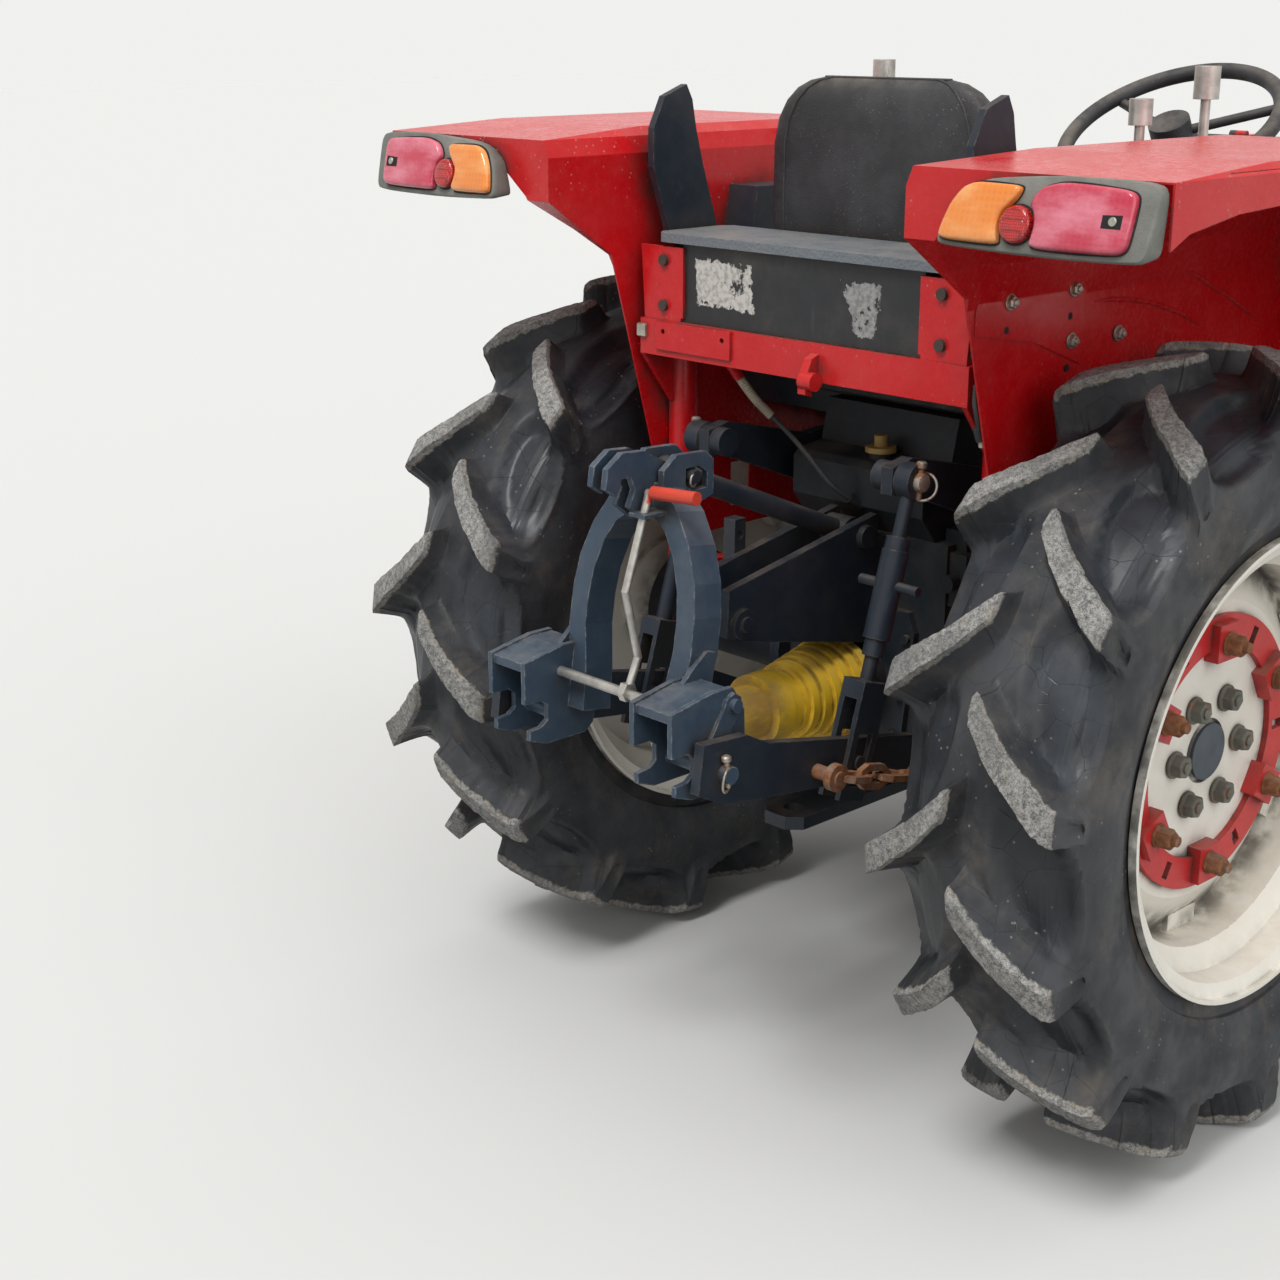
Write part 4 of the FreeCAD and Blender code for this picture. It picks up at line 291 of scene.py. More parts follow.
def reflector(name, colour, deep):
    """A honeycomb of small prisms under clear red plastic."""
    g = Graph(name)
    g.surface.inputs["Coat Weight"].default_value = 0.6
    g.surface.inputs["Coat Roughness"].default_value = 0.05
    comb = g.share(g.cells(330.0, "DISTANCE_TO_EDGE", loose=0.12), 0.0, 0.18)
    g.carve(comb, 0.0004)
    return g.finish(g.mix(comb, deep, g.mix(g.noise(60.0, 3.0), colour, tuple(c * 0.6 for c in colour))), 0.14)


def rubber(name):
    """Tyre rubber: brown dust and streaks on the carcass, a painted blue-grey sheen in the dishes between the bars,
    pale speckled wear where the bars meet the ground.
    """
    g = Graph(name, shine=0.35)
    marks = {}
    for word in ("worn", "dished"):
        node = g.nodes.new("ShaderNodeAttribute")
        node.attribute_name = word
        marks[word] = node.outputs["Fac"]
    mark, dished = marks["worn"], marks["dished"]
    base = g.mix(g.share(g.noise(7.0, 5.0, 0.6), 0.35, 0.72), (0.020, 0.022, 0.026), (0.055, 0.058, 0.064))
    stains = g.share(g.noise(11.0, 7.0, 0.72, shift=3.7), 0.46, 0.74, 0.6)
    base = g.mix(stains, base, (0.115, 0.098, 0.08))
    # The dishes between the bars lose the brown stains and take a blue-grey tint in patches: cleaner rubber, with a
    # painted sheen of reflected sky.
    painted_sheen = g.share(g.noise(5.0, 5.0, 0.65, shift=7.3), 0.4, 0.7)
    base = g.mix(g.maths("MULTIPLY", dished, 0.85), base, g.mix(painted_sheen, (0.014, 0.017, 0.022), (0.045, 0.052, 0.062)))
    mud = g.both(g.hollow(0.05, 0.9, 0.4), g.share(g.noise(20.0, 5.0, shift=1.1), 0.48, 0.7, 0.6))
    base = g.mix(mud, base, (0.13, 0.105, 0.08))
    flecks = g.both(g.share(g.cells(70.0), 0.16, 0.05), g.share(g.noise(8.0, 2.0, shift=6.0), 0.5, 0.62, 0.6))
    base = g.mix(flecks, base, (0.32, 0.29, 0.25))
    speckle = g.maths("ADD", g.maths("MULTIPLY", g.noise(150.0, 5.0, 0.8), 0.6),
                      g.maths("MULTIPLY", g.noise(620.0, 3.0, 0.7), 0.4))
    grey = g.mix(g.share(speckle, 0.38, 0.62), (0.095, 0.097, 0.098), (0.44, 0.43, 0.405))
    grey = g.mix(g.share(g.noise(16.0, 4.0, shift=5.1), 0.45, 0.7, 0.5), grey, (0.12, 0.12, 0.118))
    ragged = g.maths("ADD", mark, g.maths("MULTIPLY", g.maths("SUBTRACT", g.noise(60.0, 6.0, 0.75), 0.5), 1.1))
    worn = g.share(ragged, 0.52, 0.72)
    rim = g.both(g.share(ragged, 1.05, 0.7), g.share(g.noise(34.0, 5.0, 0.7, shift=2.0), 0.42, 0.66, 0.75))
    body = g.mix(worn, base, g.mix(rim, grey, (0.36, 0.31, 0.235)))
    smooth_part = g.blend(dished, g.blend(g.share(g.noise(15.0, 4.0), 0.4, 0.65), 0.5, 0.75), 0.36)
    rough = g.blend(worn, smooth_part, 0.93)
    fine = g.maths("MULTIPLY", g.noise(210.0, 6.0, 0.8), g.blend(worn, 0.12, 1.1))
    cuts = g.share(g.cells(19.0, "DISTANCE_TO_EDGE"), 0.0, 0.008)
    relief = g.maths("ADD", fine, g.maths("MULTIPLY", cuts, 0.18))
    g.carve(relief, 0.0018, 0.002)
    return g.finish(body, rough)


# Marks that lie at one place of a piece; each takes and gives colour, roughness and relief
def rim_marks(g, body, rough, relief):
    """A dark blue cap on the hub."""
    x, y, z = g.axes(g.place)
    hub = at(0, 0, 550)
    from_axle = g.vector("LENGTH", g.vector("SUBTRACT", g.joined(0.0, y, z), (0.0, hub.y, hub.z)))
    cap = g.both(g.share(g.maths("ABSOLUTE", x), 0.5362, 0.5368), g.share(from_axle, 0.0645, 0.0638))
    body = g.mix(cap, body, g.mix(g.noise(30.0, 5.0), (0.016, 0.027, 0.042), (0.07, 0.09, 0.11)))
    return body, g.blend(cap, rough, 0.4), relief


PANEL_BOLTS = [(258, 1100), (258, 1166)]


def bolt_marks(g, body, rough, relief):
    """Blackened bolt heads on the panel's brackets."""
    x, y, z = g.axes(g.place)
    across = g.maths("ABSOLUTE", x)
    for bolt_x, bolt_z in PANEL_BOLTS:
        away = g.vector("LENGTH", g.vector("SUBTRACT", g.joined(across, z, 0.0), (bolt_x / 1000, bolt_z / 1000, 0.0)))
        head = g.both(g.share(away, 0.0095, 0.0088), g.share(y, at(0, 263, 0).y, at(0, 263.8, 0).y))
        body = g.mix(head, body, g.mix(g.noise(90.0, 4.0), (0.012, 0.011, 0.011), (0.09, 0.06, 0.045)))
        rough = g.blend(head, rough, 0.6)
    return body, rough, relief


STICKERS = [
    # low and high x, low and high z, share torn away, colour, slopes of its two sides
    (0.086, 0.196, 1.106, 1.172, 0.43, (0.60, 0.58, 0.54), 0.06, 0.06),
    (-0.146, -0.094, 1.096, 1.166, 0.45, (0.34, 0.34, 0.33), -0.12, 0.42),
]


def panel_marks(g, body, rough, relief):
    x, y, z = g.axes(g.place)
    rear = g.share(g.axes(g.facing)[1], 0.5, 0.8)
    frayed = g.maths("MULTIPLY", g.maths("SUBTRACT", g.noise(75.0, 5.0, 0.7, shift=2.9), 0.5), 0.024)
    torn = g.noise(27.0, 6.0, 0.66, shift=1.3)
    for low_x, high_x, low_z, high_z, lost, colour, low_slope, high_slope in STICKERS:
        high = g.maths("SUBTRACT", z, (low_z + high_z) / 2)
        across = g.maths("ADD", x, frayed)
        area = g.both(rear,
                      g.share(g.maths("SUBTRACT", across, g.maths("MULTIPLY", high, low_slope)),
                              low_x - 0.0007, low_x + 0.0007),
                      g.share(g.maths("SUBTRACT", across, g.maths("MULTIPLY", high, high_slope)),
                              high_x + 0.0007, high_x - 0.0007),
                      g.within(g.maths("ADD", z, frayed), low_z, high_z, 0.0007),
                      g.share(torn, lost, lost + 0.03))
        tone = g.mix(g.share(g.noise(150.0, 4.0), 0.4, 0.65), colour, tuple(c * 0.62 for c in colour))
        body = g.mix(area, body, tone)
        rough = g.blend(area, rough, 0.7)
        relief = g.maths("ADD", relief, g.maths("MULTIPLY", area, 0.8))
    return body, rough, relief


def hammered_marks(g, body, rough, relief):
    return body, rough, g.maths("ADD", relief, g.maths("MULTIPLY", g.cells(210.0), 2.2))


def grip_marks(g, body, rough, relief):
    """An orange-red grip on the end of the release rod."""
    x, y, z = g.axes(g.place)
    grip = g.both(g.share(x, -0.0325, -0.0345), g.share(z, 0.900, 0.904))
    body = g.mix(grip, body, g.mix(g.noise(40.0, 4.0), (0.72, 0.055, 0.02), (0.45, 0.05, 0.03)))
    g.put(g.surface.inputs["Metallic"], g.blend(grip, 0.8, 0.0))
    return body, g.blend(grip, rough, 0.45), relief


def guard_marks(g, body, rough, relief):
    """The plain tube is browner and greasier than the ribbed bell."""
    x, y, z = g.axes(g.place)
    tube = g.share(g.maths("ADD", y, g.maths("MULTIPLY", g.noise(12.0), 0.03)), 1.075, 1.12)
    dirt = g.both(tube, g.share(g.noise(24.0, 5.0, 0.65, stretch=(1.0, 0.4, 1.0), shift=1.9), 0.3, 0.62, 0.8))
    return g.mix(dirt, body, (0.36, 0.22, 0.07)), g.blend(dirt, rough, 0.7), relief


def case_marks(g, body, rough, relief):
    """A brass-coloured filler cap on the gear case."""
    x, y, z = g.axes(g.place)
    from_cap = g.vector("LENGTH", g.vector("SUBTRACT", g.joined(x, y, 0.0), tuple(at(-14, 84, -0.0))))
    cap = g.both(g.share(from_cap, 0.026, 0.025), g.share(z, 0.8965, 0.8975))
    body = g.mix(cap, body, g.mix(g.noise(60.0, 4.0), (0.62, 0.42, 0.13), (0.36, 0.23, 0.08)))
    return body, g.blend(cap, rough, 0.5), relief


RED = (0.56, 0.004, 0.008)
PINK = (0.70, 0.045, 0.045)
finish_of = {
    "red_paint": paint("red_paint", RED, PINK, (0.16, 0.03, 0.03), dusty=0.12, worn=0.35, gloss=0.22, splash=0.7),
    "ring_red": paint("ring_red", (0.52, 0.02, 0.022), PINK, RUST, dusty=0.3, worn=0.8, gloss=0.34),
    "navy_paint": paint("navy_paint", (0.011, 0.017, 0.027), (0.03, 0.042, 0.058), (0.13, 0.10, 0.08),
                        dusty=0.3, worn=0.7, gloss=0.42, dust=(0.16, 0.125, 0.095)),
    "blue_grey_paint": paint("blue_grey_paint", (0.030, 0.052, 0.082), (0.08, 0.115, 0.155), (0.30, 0.30, 0.30),
                             dusty=0.3, worn=0.75, gloss=0.38, dust=(0.24, 0.23, 0.21)),
    "cream_paint": paint("cream_paint", (0.84, 0.81, 0.73), (0.74, 0.69, 0.58), (0.36, 0.25, 0.17),
                         dusty=0.22, worn=0.25, gloss=0.3, dust=(0.52, 0.44, 0.33)),
    "black_paint": paint("black_paint", (0.016, 0.017, 0.020), (0.05, 0.053, 0.06), (0.16, 0.15, 0.14),
                         dusty=0.3, worn=0.6, gloss=0.4),
    "grey_panel": paint("grey_panel", (0.115, 0.125, 0.135), (0.20, 0.21, 0.22), (0.30, 0.30, 0.30),
                        dusty=0.4, worn=0.6, gloss=0.42),
    "panel_black": paint("panel_black", (0.014, 0.015, 0.017), (0.04, 0.042, 0.047), (0.16, 0.15, 0.14),
                         dusty=0.3, worn=0.6, gloss=0.4, marks=panel_marks),
    "hammered_grey": paint("hammered_grey", (0.145, 0.165, 0.185), (0.23, 0.25, 0.27), (0.30, 0.30, 0.30),
                           dusty=0.3, worn=0.6, gloss=0.36, marks=hammered_marks),
    "case_paint": paint("case_paint", (0.008, 0.013, 0.019), (0.03, 0.038, 0.046), (0.10, 0.08, 0.065),
                        dusty=0.55, worn=0.5, gloss=0.5, dust=(0.11, 0.09, 0.07), marks=case_marks),
    "red_frame": paint("red_frame", RED, PINK, (0.16, 0.03, 0.03), dusty=0.15, worn=0.5, gloss=0.24, splash=0.5,
                       marks=bolt_marks),
    "cream_rim": paint("cream_rim", (0.84, 0.81, 0.73), (0.74, 0.69, 0.58), (0.36, 0.25, 0.17),
                       dusty=0.22, worn=0.25, gloss=0.3, dust=(0.52, 0.44, 0.33), marks=rim_marks),
    "tail_lamp": plastic("tail_lamp", (0.13, 0.135, 0.12), (0.24, 0.24, 0.215), roughness=0.5, dusty=0.25),
    "amber_lens": lens("amber_lens", (0.83, 0.25, 0.035), (0.92, 0.52, 0.22), (0.62, 0.13, 0.01)),
    "red_lens": lens("red_lens", (0.56, 0.03, 0.07), (0.80, 0.30, 0.38), (0.28, 0.006, 0.02)),
    "reflector": reflector("reflector", (0.78, 0.012, 0.008), (0.20, 0.001, 0.002)),
    "nut_steel": metal("nut_steel", (0.16, 0.16, 0.135), 0.3, roughness=0.5, metallic=0.5),
    "steel": metal("steel", (0.56, 0.54, 0.50), 0.25),
    "zinc": metal("zinc", (0.46, 0.44, 0.38), 0.42, roughness=0.45),
    "release_steel": metal("release_steel", (0.56, 0.54, 0.50), 0.15, marks=grip_marks),
    "rusty_steel": metal("rusty_steel", (0.28, 0.21, 0.16), 0.9, metallic=0.5, pitted=1.0),
    "tyre": rubber("tyre"),
    "yellow_guard": plastic("yellow_guard", (0.93, 0.60, 0.025), (0.80, 0.50, 0.06), roughness=0.45, dusty=0.5,
                            dirt=(0.16, 0.09, 0.03), marks=guard_marks),
    "ivory_plastic": plastic("ivory_plastic", (0.66, 0.60, 0.46), (0.50, 0.44, 0.33), dusty=0.5),
    "seat_vinyl": plastic("seat_vinyl", (0.018, 0.018, 0.020), (0.045, 0.046, 0.05), grain=420.0, roughness=0.5,
                          dusty=0.4),
    # Near-black: painted shade in the fender's slot holes, and the dark seams round the tail lamps' lenses.
    "dark_hole": plastic("dark_hole", (0.006, 0.006, 0.006), (0.012, 0.012, 0.012), roughness=0.9, dusty=0.1),
    "dial_face": plastic("dial_face", (0.55, 0.55, 0.52), (0.62, 0.62, 0.60), roughness=0.25, dusty=0.2),
    "black_plastic": plastic("black_plastic", (0.020, 0.020, 0.022), (0.055, 0.055, 0.058)),
    "lamp_lens": plastic("lamp_lens", (0.62, 0.06, 0.03), (0.75, 0.25, 0.15), roughness=0.2),
    "clear_lens": plastic("clear_lens", (0.72, 0.74, 0.73), (0.60, 0.60, 0.56), roughness=0.15, dusty=0.2),
}
OWN_FINISH = {
    "rear_ring_left": "ring_red", "rear_ring_right": "ring_red", "rear_panel": "panel_black",
    "tray": "hammered_grey", "tail_lamp_left": "tail_lamp", "tail_lamp_right": "tail_lamp",
    "rear_frame": "red_frame", "rear_rim_left": "cream_rim", "rear_rim_right": "cream_rim",
    "release_rod": "release_steel", "transmission_case": "case_paint",
}


def dress(piece, finish):
    piece.data.materials.clear()
    piece.data.materials.append(finish_of[finish])


for entry in frame["record"]["subparts"]:
    name = entry["node"]
    dress(nodes[name], OWN_FINISH.get(name, entry["material_slot"]))


def new_piece(name, mesh, finish, body, sharp=35.0):
    """Links a finished mesh as a piece of the tractor that rides on a body."""
    mesh.shade_smooth()
    mesh.set_sharp_from_angle(angle=math.radians(sharp))
    piece = bpy.data.objects.new(name, mesh)
    bpy.context.scene.collection.objects.link(piece)
    mesh.materials.append(finish_of[finish])
    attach(piece, body)
    return piece


# Tyres
def curve_through(rows, column):
    xs = [row[0] for row in rows]
    ys = [row[column] for row in rows]
    return lambda t: float(np.interp(t, xs, ys))


def smooth(t, a, b):
    t = min(max((t - a) / (b - a), 0.0), 1.0)
    return t * t * (3 - 2 * t)


# Each row: place across the tread (0 middle, 1 shoulder), foot x and radius, bar-top x and radius,
# lead of the bar around the tyre, half width of its flat top, and width of its flank, in millimetres.
REAR_TREAD = [
    (0.00, 0, 509, 0, 549.5, -72, 16, 22), (0.10, 14, 508.5, 14, 549.3, -56, 18, 22),
    (0.30, 41, 506, 41, 548.5, -25, 19, 21), (0.45, 61, 503, 62, 547, -4, 19, 20),
    (0.60, 81, 499, 84, 545.5, 13, 19, 20), (0.75, 99, 494, 104, 543, 30, 21, 19),
    (0.84, 109, 489, 116, 541, 40, 22, 18), (0.90, 116, 483, 126, 538, 47, 22, 17),
    (0.96, 122, 475, 133.5, 532, 53, 21, 16), (1.00, 125, 468, 136, 522, 57, 20, 15),
    (1.08, 129, 457, 136.8, 496, 61, 19, 13), (1.16, 132, 448, 136.8, 470, 64, 18, 11),
    (1.22, 133.5, 441, 135.5, 447, 66, 18, 10),
]
REAR_WALL = [(134.5, 430), (135, 415), (134, 398), (131, 380), (127, 364), (122, 352), (121, 347), (116, 345),
             (112, 335), (109.5, 322), (108.5, 306)]
FRONT_TREAD = [
    (0.00, 0, 345, 0, 369.7, -44, 10, 16), (0.15, 14, 344.5, 14, 369.4, -28, 11, 17),
    (0.40, 37, 342, 38, 368, -5, 12, 19), (0.60, 55, 339.5, 57, 366, 10, 12, 19),
    (0.76, 68, 335, 72, 363.5, 21, 13, 17), (0.86, 76, 329, 82, 359, 28, 14, 15),
    (0.94, 82, 321, 90, 349, 33, 13, 13), (1.00, 86, 314, 94, 336, 36, 12, 11),
    (1.10, 89.5, 303, 94.4, 315, 39, 11, 8), (1.18, 92, 294, 93.5, 297, 41, 11, 6),
]
FRONT_WALL = [(93, 286), (93.6, 274), (92, 262), (88, 250), (82, 243), (80, 240), (76, 238), (73, 230), (71, 218),
              (70, 204)]
TOP_STEPS = (-1.0, -0.93, -0.55, -0.18, 0.18, 0.55, 0.93, 1.0)
FLANK_STEPS = (0.08, 0.2, 0.36, 0.54, 0.74, 1.0)
BASE_STEPS = (0.16, 0.36, 0.58, 0.8)


def bar_steps(w, flank, reach):
    """Places around one bar, from one valley to the next, dense along its edges."""
    right = [w + flank * v for v in FLANK_STEPS]
    foot = right[-1]
    right += [foot + (reach - foot) * v for v in BASE_STEPS]
    return [-reach] + [-u for u in reversed(right)] + [w * v for v in TOP_STEPS] + right


def tyre_mesh(name, rows, wall, radius, pitch, dish, hub, mirror, seed):
    """Carcass and two rows of curved bars as one closed skin, with worn, slightly ragged bar tops."""
    rng = np.random.default_rng(seed)
    column = [curve_through(rows, k) for k in range(8)]
    last = rows[-1][0]
    steps = sorted(set(list(np.linspace(0, last, 30)) + [0.012, 0.024, 0.036, 0.05, 0.065, 0.085]
                       + [row[0] for row in rows[3:]]))
    reach = math.pi * radius / pitch
    count = len(bar_steps(20, 20, reach))
    uniform = [-reach + 2 * reach * k / count for k in range(count)]
    ragged = rng.normal(0, 1, (2, pitch, len(steps)))
    sunk = rng.normal(0, 1, (2, pitch, len(steps), count))
    verts, worn, dished = [], [], []

    def ring(side, k_row, t):
        out = []
        w, flank = column[6](t), column[7](t)
        near = smooth(t, 0.0, 0.09)
        rise = smooth(t, 0.004, 0.045) * (1.0 if t < last else 0.0)
        # the dish between two bars sinks square to the carcass
        along, fall = column[1](t + 0.02) - column[1](t - 0.02), column[2](t + 0.02) - column[2](t - 0.02)
        length = math.hypot(along, fall) or 1.0
        out_x, out_r = -fall / length, along / length
        for i in range(pitch):
            wobble = 0.9 * ragged[0 if side > 0 else 1, i, k_row]
            places = bar_steps(w + wobble, flank, reach)
            middle = column[5](t)
            for k in range(count):
                u = uniform[k] * (1 - near) + places[k] * near
                beyond = max(0.0, abs(u) - w - wobble) / flank
                lift = rise * (0.0 if beyond >= 1 else (1 - beyond) ** 2 * (1 + 0.4 * beyond))
                away = math.hypot((reach - abs(u)) / (reach - w + 4), (t - 0.70) / 0.45)
                inside = 1 - smooth(away, 0.74, 1.0)
                scoop = dish * (inside - 0.2 * smooth(away, 0.92, 1.02) * (1 - smooth(away, 1.02, 1.2))
                                * smooth(t, 0.7, 0.9))
                rim_in = smooth(t, 1.0, 1.05) * (1 - smooth(t, 1.14, 1.2))
                hollow = 0.75 * rim_in * (1 - smooth(abs(u) / max(w, 1e-6), 0.4, 0.7))
                lift *= 1 - hollow
                drop = abs(sunk[0 if side > 0 else 1, i, k_row, k]) * 0.55 * lift
                x = (column[1](t) - scoop * out_x) * (1 - lift) + column[3](t) * lift
                r = (column[2](t) - scoop * out_r) * (1 - lift) + (column[4](t) - drop) * lift
                turn = (u + middle) / radius + 2 * math.pi * (i + (0.5 if side < 0 else 0.0)) / pitch
                out.append((side * x, r, turn, smooth(lift, 0.45, 1.0) * (1 - 0.8 * smooth(t, 0.94, 1.04)),
                            (1 - smooth(away, 0.9, 1.02)) * (1 - smooth(lift, 0.02, 0.25))))
        return out

    def wall_ring(side, x, r):
        turns = [(2 * math.pi * (i + (0.5 if side < 0 else 0.0)) / pitch
                  + (uniform_k + column[5](last)) / radius) for i in range(pitch) for uniform_k in wall_places]
        return [(side * x, r, turn, 0.0, 0.0) for turn in turns]

    wall_places = bar_steps(column[6](last), column[7](last), reach)
    rings = []
    for side in (-1, 1):
        mine = [ring(side, k, t) for k, t in enumerate(steps)] + [wall_ring(side, x, r) for x, r in wall]
        rings.append(mine)
    total = pitch * count
    half_turn = count // 2
    left = [r[half_turn * 0:] for r in rings[0]]
    order = []
    for r in reversed(left[1:]):
        order.append(r)
    order += rings[1]
    start_of = []
    for k, r in enumerate(order):
        start_of.append(len(verts))
        for x, rad, turn, mark, hollow in r:
            px = hub[0] + mirror * x / 1000
            verts.append((px, hub[1] + rad / 1000 * math.sin(turn), hub[2] + rad / 1000 * math.cos(turn)))
            worn.append(mark)
            dished.append(hollow)
    faces = []
    join_at = len(left) - 2  # last ring of the first side, next to the shared middle ring
    for k in range(len(order) - 1):
        a, b = start_of[k], start_of[k + 1]
        # a bar of one side starts half a pitch after the bar of the other
        shift = -half_turn if k == join_at else 0
        for j in range(total):
            j2 = (j + 1) % total
            faces.append((a + j, a + j2, b + (j2 - shift) % total, b + (j - shift) % total))
    a, b = start_of[-1], start_of[0]
    shift = half_turn
    for j in range(total):
        j2 = (j + 1) % total
        faces.append((a + j, a + j2, b + (j2 - shift) % total, b + (j - shift) % total))
    if mirror < 0:
        faces = [f[::-1] for f in faces]
    mesh = bpy.data.meshes.new(name)
    mesh.from_pydata(verts, [], faces)
    mesh.validate()
    # worn marks the bar tops; dished marks the dishes, where the tyre finish paints its sheen and sets a smoother
    # surface.
    for word, values in (("worn", worn), ("dished", dished)):
        mesh.attributes.new(word, "FLOAT", "POINT").data.foreach_set("value", values)
    bm = bmesh.new()
    bm.from_mesh(mesh)
    bmesh.ops.recalc_face_normals(bm, faces=bm.faces)
    bm.to_mesh(mesh)
    bm.free()
    return mesh


TYRES = [
    # name, rows, wall, radius, bars a side, depth of the dishes, track, y, seed
    ("rear", REAR_TREAD, REAR_WALL, 550, 14, 20, 518, 0, 4),
    ("front", FRONT_TREAD, FRONT_WALL, 370, 16, 6, 520, -1600, 9),
]
for word, rows, wall, radius, pitch, dish, track, y, seed in TYRES:
    for side_word, side in (("left", 1), ("right", -1)):
        hub = at(side * track, y, radius)
        mesh = tyre_mesh(f"{word}_tyre_skin_{side_word}", rows, wall, radius, pitch, dish, hub, side,
                         seed + side)
        tyre = new_piece(f"{word}_tyre_skin_{side_word}", mesh, "tyre", f"{word}_wheel_{side_word}", sharp=40.0)
        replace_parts(tyre, f"{word}_tyre_{side_word}")

# Small parts
class Build:
    """Collects closed shapes, given in millimetres from the rear axle, into one mesh."""

    def __init__(self):
        self.verts = []
        self.faces = []

    def loft(self, rings, closed=False):
        """Skins rings of equally many points and caps the two ends."""
        base, count = len(self.verts), len(rings[0])
        for ring in rings:
            self.verts += [at(*point) for point in ring]
        pairs = list(zip(range(len(rings)), range(1, len(rings))))
        if closed:
            pairs.append((len(rings) - 1, 0))
        for a, b in pairs:
            for j in range(count):
                k = (j + 1) % count
                self.faces.append((base + a * count + j, base + a * count + k,
                                   base + b * count + k, base + b * count + j))
        if not closed:
            end = base + (len(rings) - 1) * count
            self.faces.append(tuple(base + j for j in reversed(range(count))))
            self.faces.append(tuple(end + j for j in range(count)))

    def lathe(self, start, way, profile, count=20, turn=0.0):
        """A turned shape from (distance, radius) pairs along a direction; count 6 gives a hexagon."""
        start, way = Vector(start), Vector(way).normalized()
        side = way.orthogonal().normalized()
        other = way.cross(side)
        angles = [turn + 2 * math.pi * k / count for k in range(count)]
        self.loft([[start + way * along + (side * math.cos(a) + other * math.sin(a)) * max(radius, 0.05)
                    for a in angles] for along, radius in profile])

    def tube(self, points, radius, count=10, closed=False):
        """A round bar along points; radius is a number or one number a point."""
        points = [Vector(p) for p in points]
        last = len(points) - 1
        radii = radius if isinstance(radius, list) else [radius] * len(points)
        rings = []
        side = None
        for k, point in enumerate(points):
            before = points[k - 1] if k or closed else point
            after = points[(k + 1) % len(points)] if k < last or closed else point
            way = (after - before).normalized()
            side = way.orthogonal() if side is None else side - way * side.dot(way)
            side = side.normalized()
            other = way.cross(side)
            angles = [2 * math.pi * j / count for j in range(count)]
            rings.append([point + (side * math.cos(a) + other * math.sin(a)) * radii[k] for a in angles])
        self.loft(rings, closed)

    def hoop(self, centre, normal, radius, wire, count=28):
        """A wire ring."""
        centre, normal = Vector(centre), Vector(normal).normalized()
        side = normal.orthogonal().normalized()
        other = normal.cross(side)
        angles = [2 * math.pi * k / count for k in range(count)]
        self.tube([centre + (side * math.cos(a) + other * math.sin(a)) * radius for a in angles], wire, 8, True)

    def block(self, low, high, round_off=1.5):
        """A box with chamfered edges."""
        (xa, ya, za), (xb, yb, zb) = low, high
        rows = [(za, round_off), (za + round_off, 0.0), (zb - round_off, 0.0), (zb, round_off)]
        rings = []
        for z, inset in rows:
            a, b, c, d, r = xa + inset, xb - inset, ya + inset, yb - inset, round_off
            rings.append([(a + r, c, z), (b - r, c, z), (b, c + r, z), (b, d - r, z), (b - r, d, z), (a + r, d, z),
                          (a, d - r, z), (a, c + r, z)])
        self.loft(rings)

    def bolt(self, seat, way, across=17.0, height=7.0, washer=True):
        """A hexagon head on a washer."""
        if washer:
            self.lathe(seat, way, [(0, across * 0.72), (1.6, across * 0.74), (2.4, across * 0.7)], 24)
        self.lathe(seat, way, [(1, across * 0.56), (height, across * 0.57), (height + 1.5, across * 0.48)], 6, 0.4)
        self.lathe(seat, way, [(height, across * 0.3), (height + 4, across * 0.3), (height + 5, across * 0.24)], 12)

    def mesh(self, name):
        mesh = bpy.data.meshes.new(name)
        mesh.from_pydata(self.verts, [], self.faces)
        mesh.validate()
        shell = bmesh.new()
        shell.from_mesh(mesh)
        bmesh.ops.recalc_face_normals(shell, faces=shell.faces)
        shell.to_mesh(mesh)
        shell.free()
        return mesh

    def piece(self, name, finish, body, slot=None, sharp=35.0):
        return new_piece(name, self.mesh(name), finish, body, sharp)


def oval(centre, half_a, half_b, power, count, plane):
    """A ring between an ellipse and a box; plane names the two axes that it lies in."""
    first, second = ("xyz".index(axis) for axis in plane)
    ring = []
    for k in range(count):
        a = 2 * math.pi * k / count
        point = list(centre)
        point[first] += half_a * math.copysign(abs(math.cos(a)) ** (2 / power), math.cos(a))
        point[second] += half_b * math.copysign(abs(math.sin(a)) ** (2 / power), math.sin(a))
        ring.append(tuple(point))
    return ring


# Seat: each row of the back is z, front y, rear y, half width; of the pan and bolster y, low z, high z, half width
SEAT_BACK = [
    (986, 20, 64, 188), (990, 17, 72, 198), (1005, 15, 78, 203), (1040, 20, 86, 204), (1130, 29, 100, 204.5),
    (1240, 41, 106, 204.5), (1330, 49, 107.5, 202), (1365, 54, 107, 193), (1390, 59, 104, 179),
    (1408, 65, 100, 160), (1419, 71, 94, 138), (1424, 77, 88, 112),
]
SEAT_PAN = [
    (-417, 1002, 1028, 168), (-412, 988, 1046, 190), (-397, 979, 1060, 201), (-362, 976, 1068, 204.5),
    (-200, 975, 1060, 205), (-60, 975, 1048, 205), (0, 976, 1046, 204.5), (12, 984, 1038, 196),
]
BOLSTER = [
    (-298, 1036, 1044, 12), (-288, 1032, 1062, 17), (-250, 1030, 1082, 19.5), (-150, 1030, 1087, 20),
    (-60, 1030, 1091, 20), (0, 1030, 1117, 20), (28, 1031, 1128, 19), (44, 1040, 1116, 13),
]
seat_back = Build()
back_rings = [oval((0, (front + rear) / 2, z), half, (rear - front) / 2, 5.5, 56, "xy")
              for z, front, rear, half in SEAT_BACK]
seat_back.loft(back_rings)
seat_pan = Build()
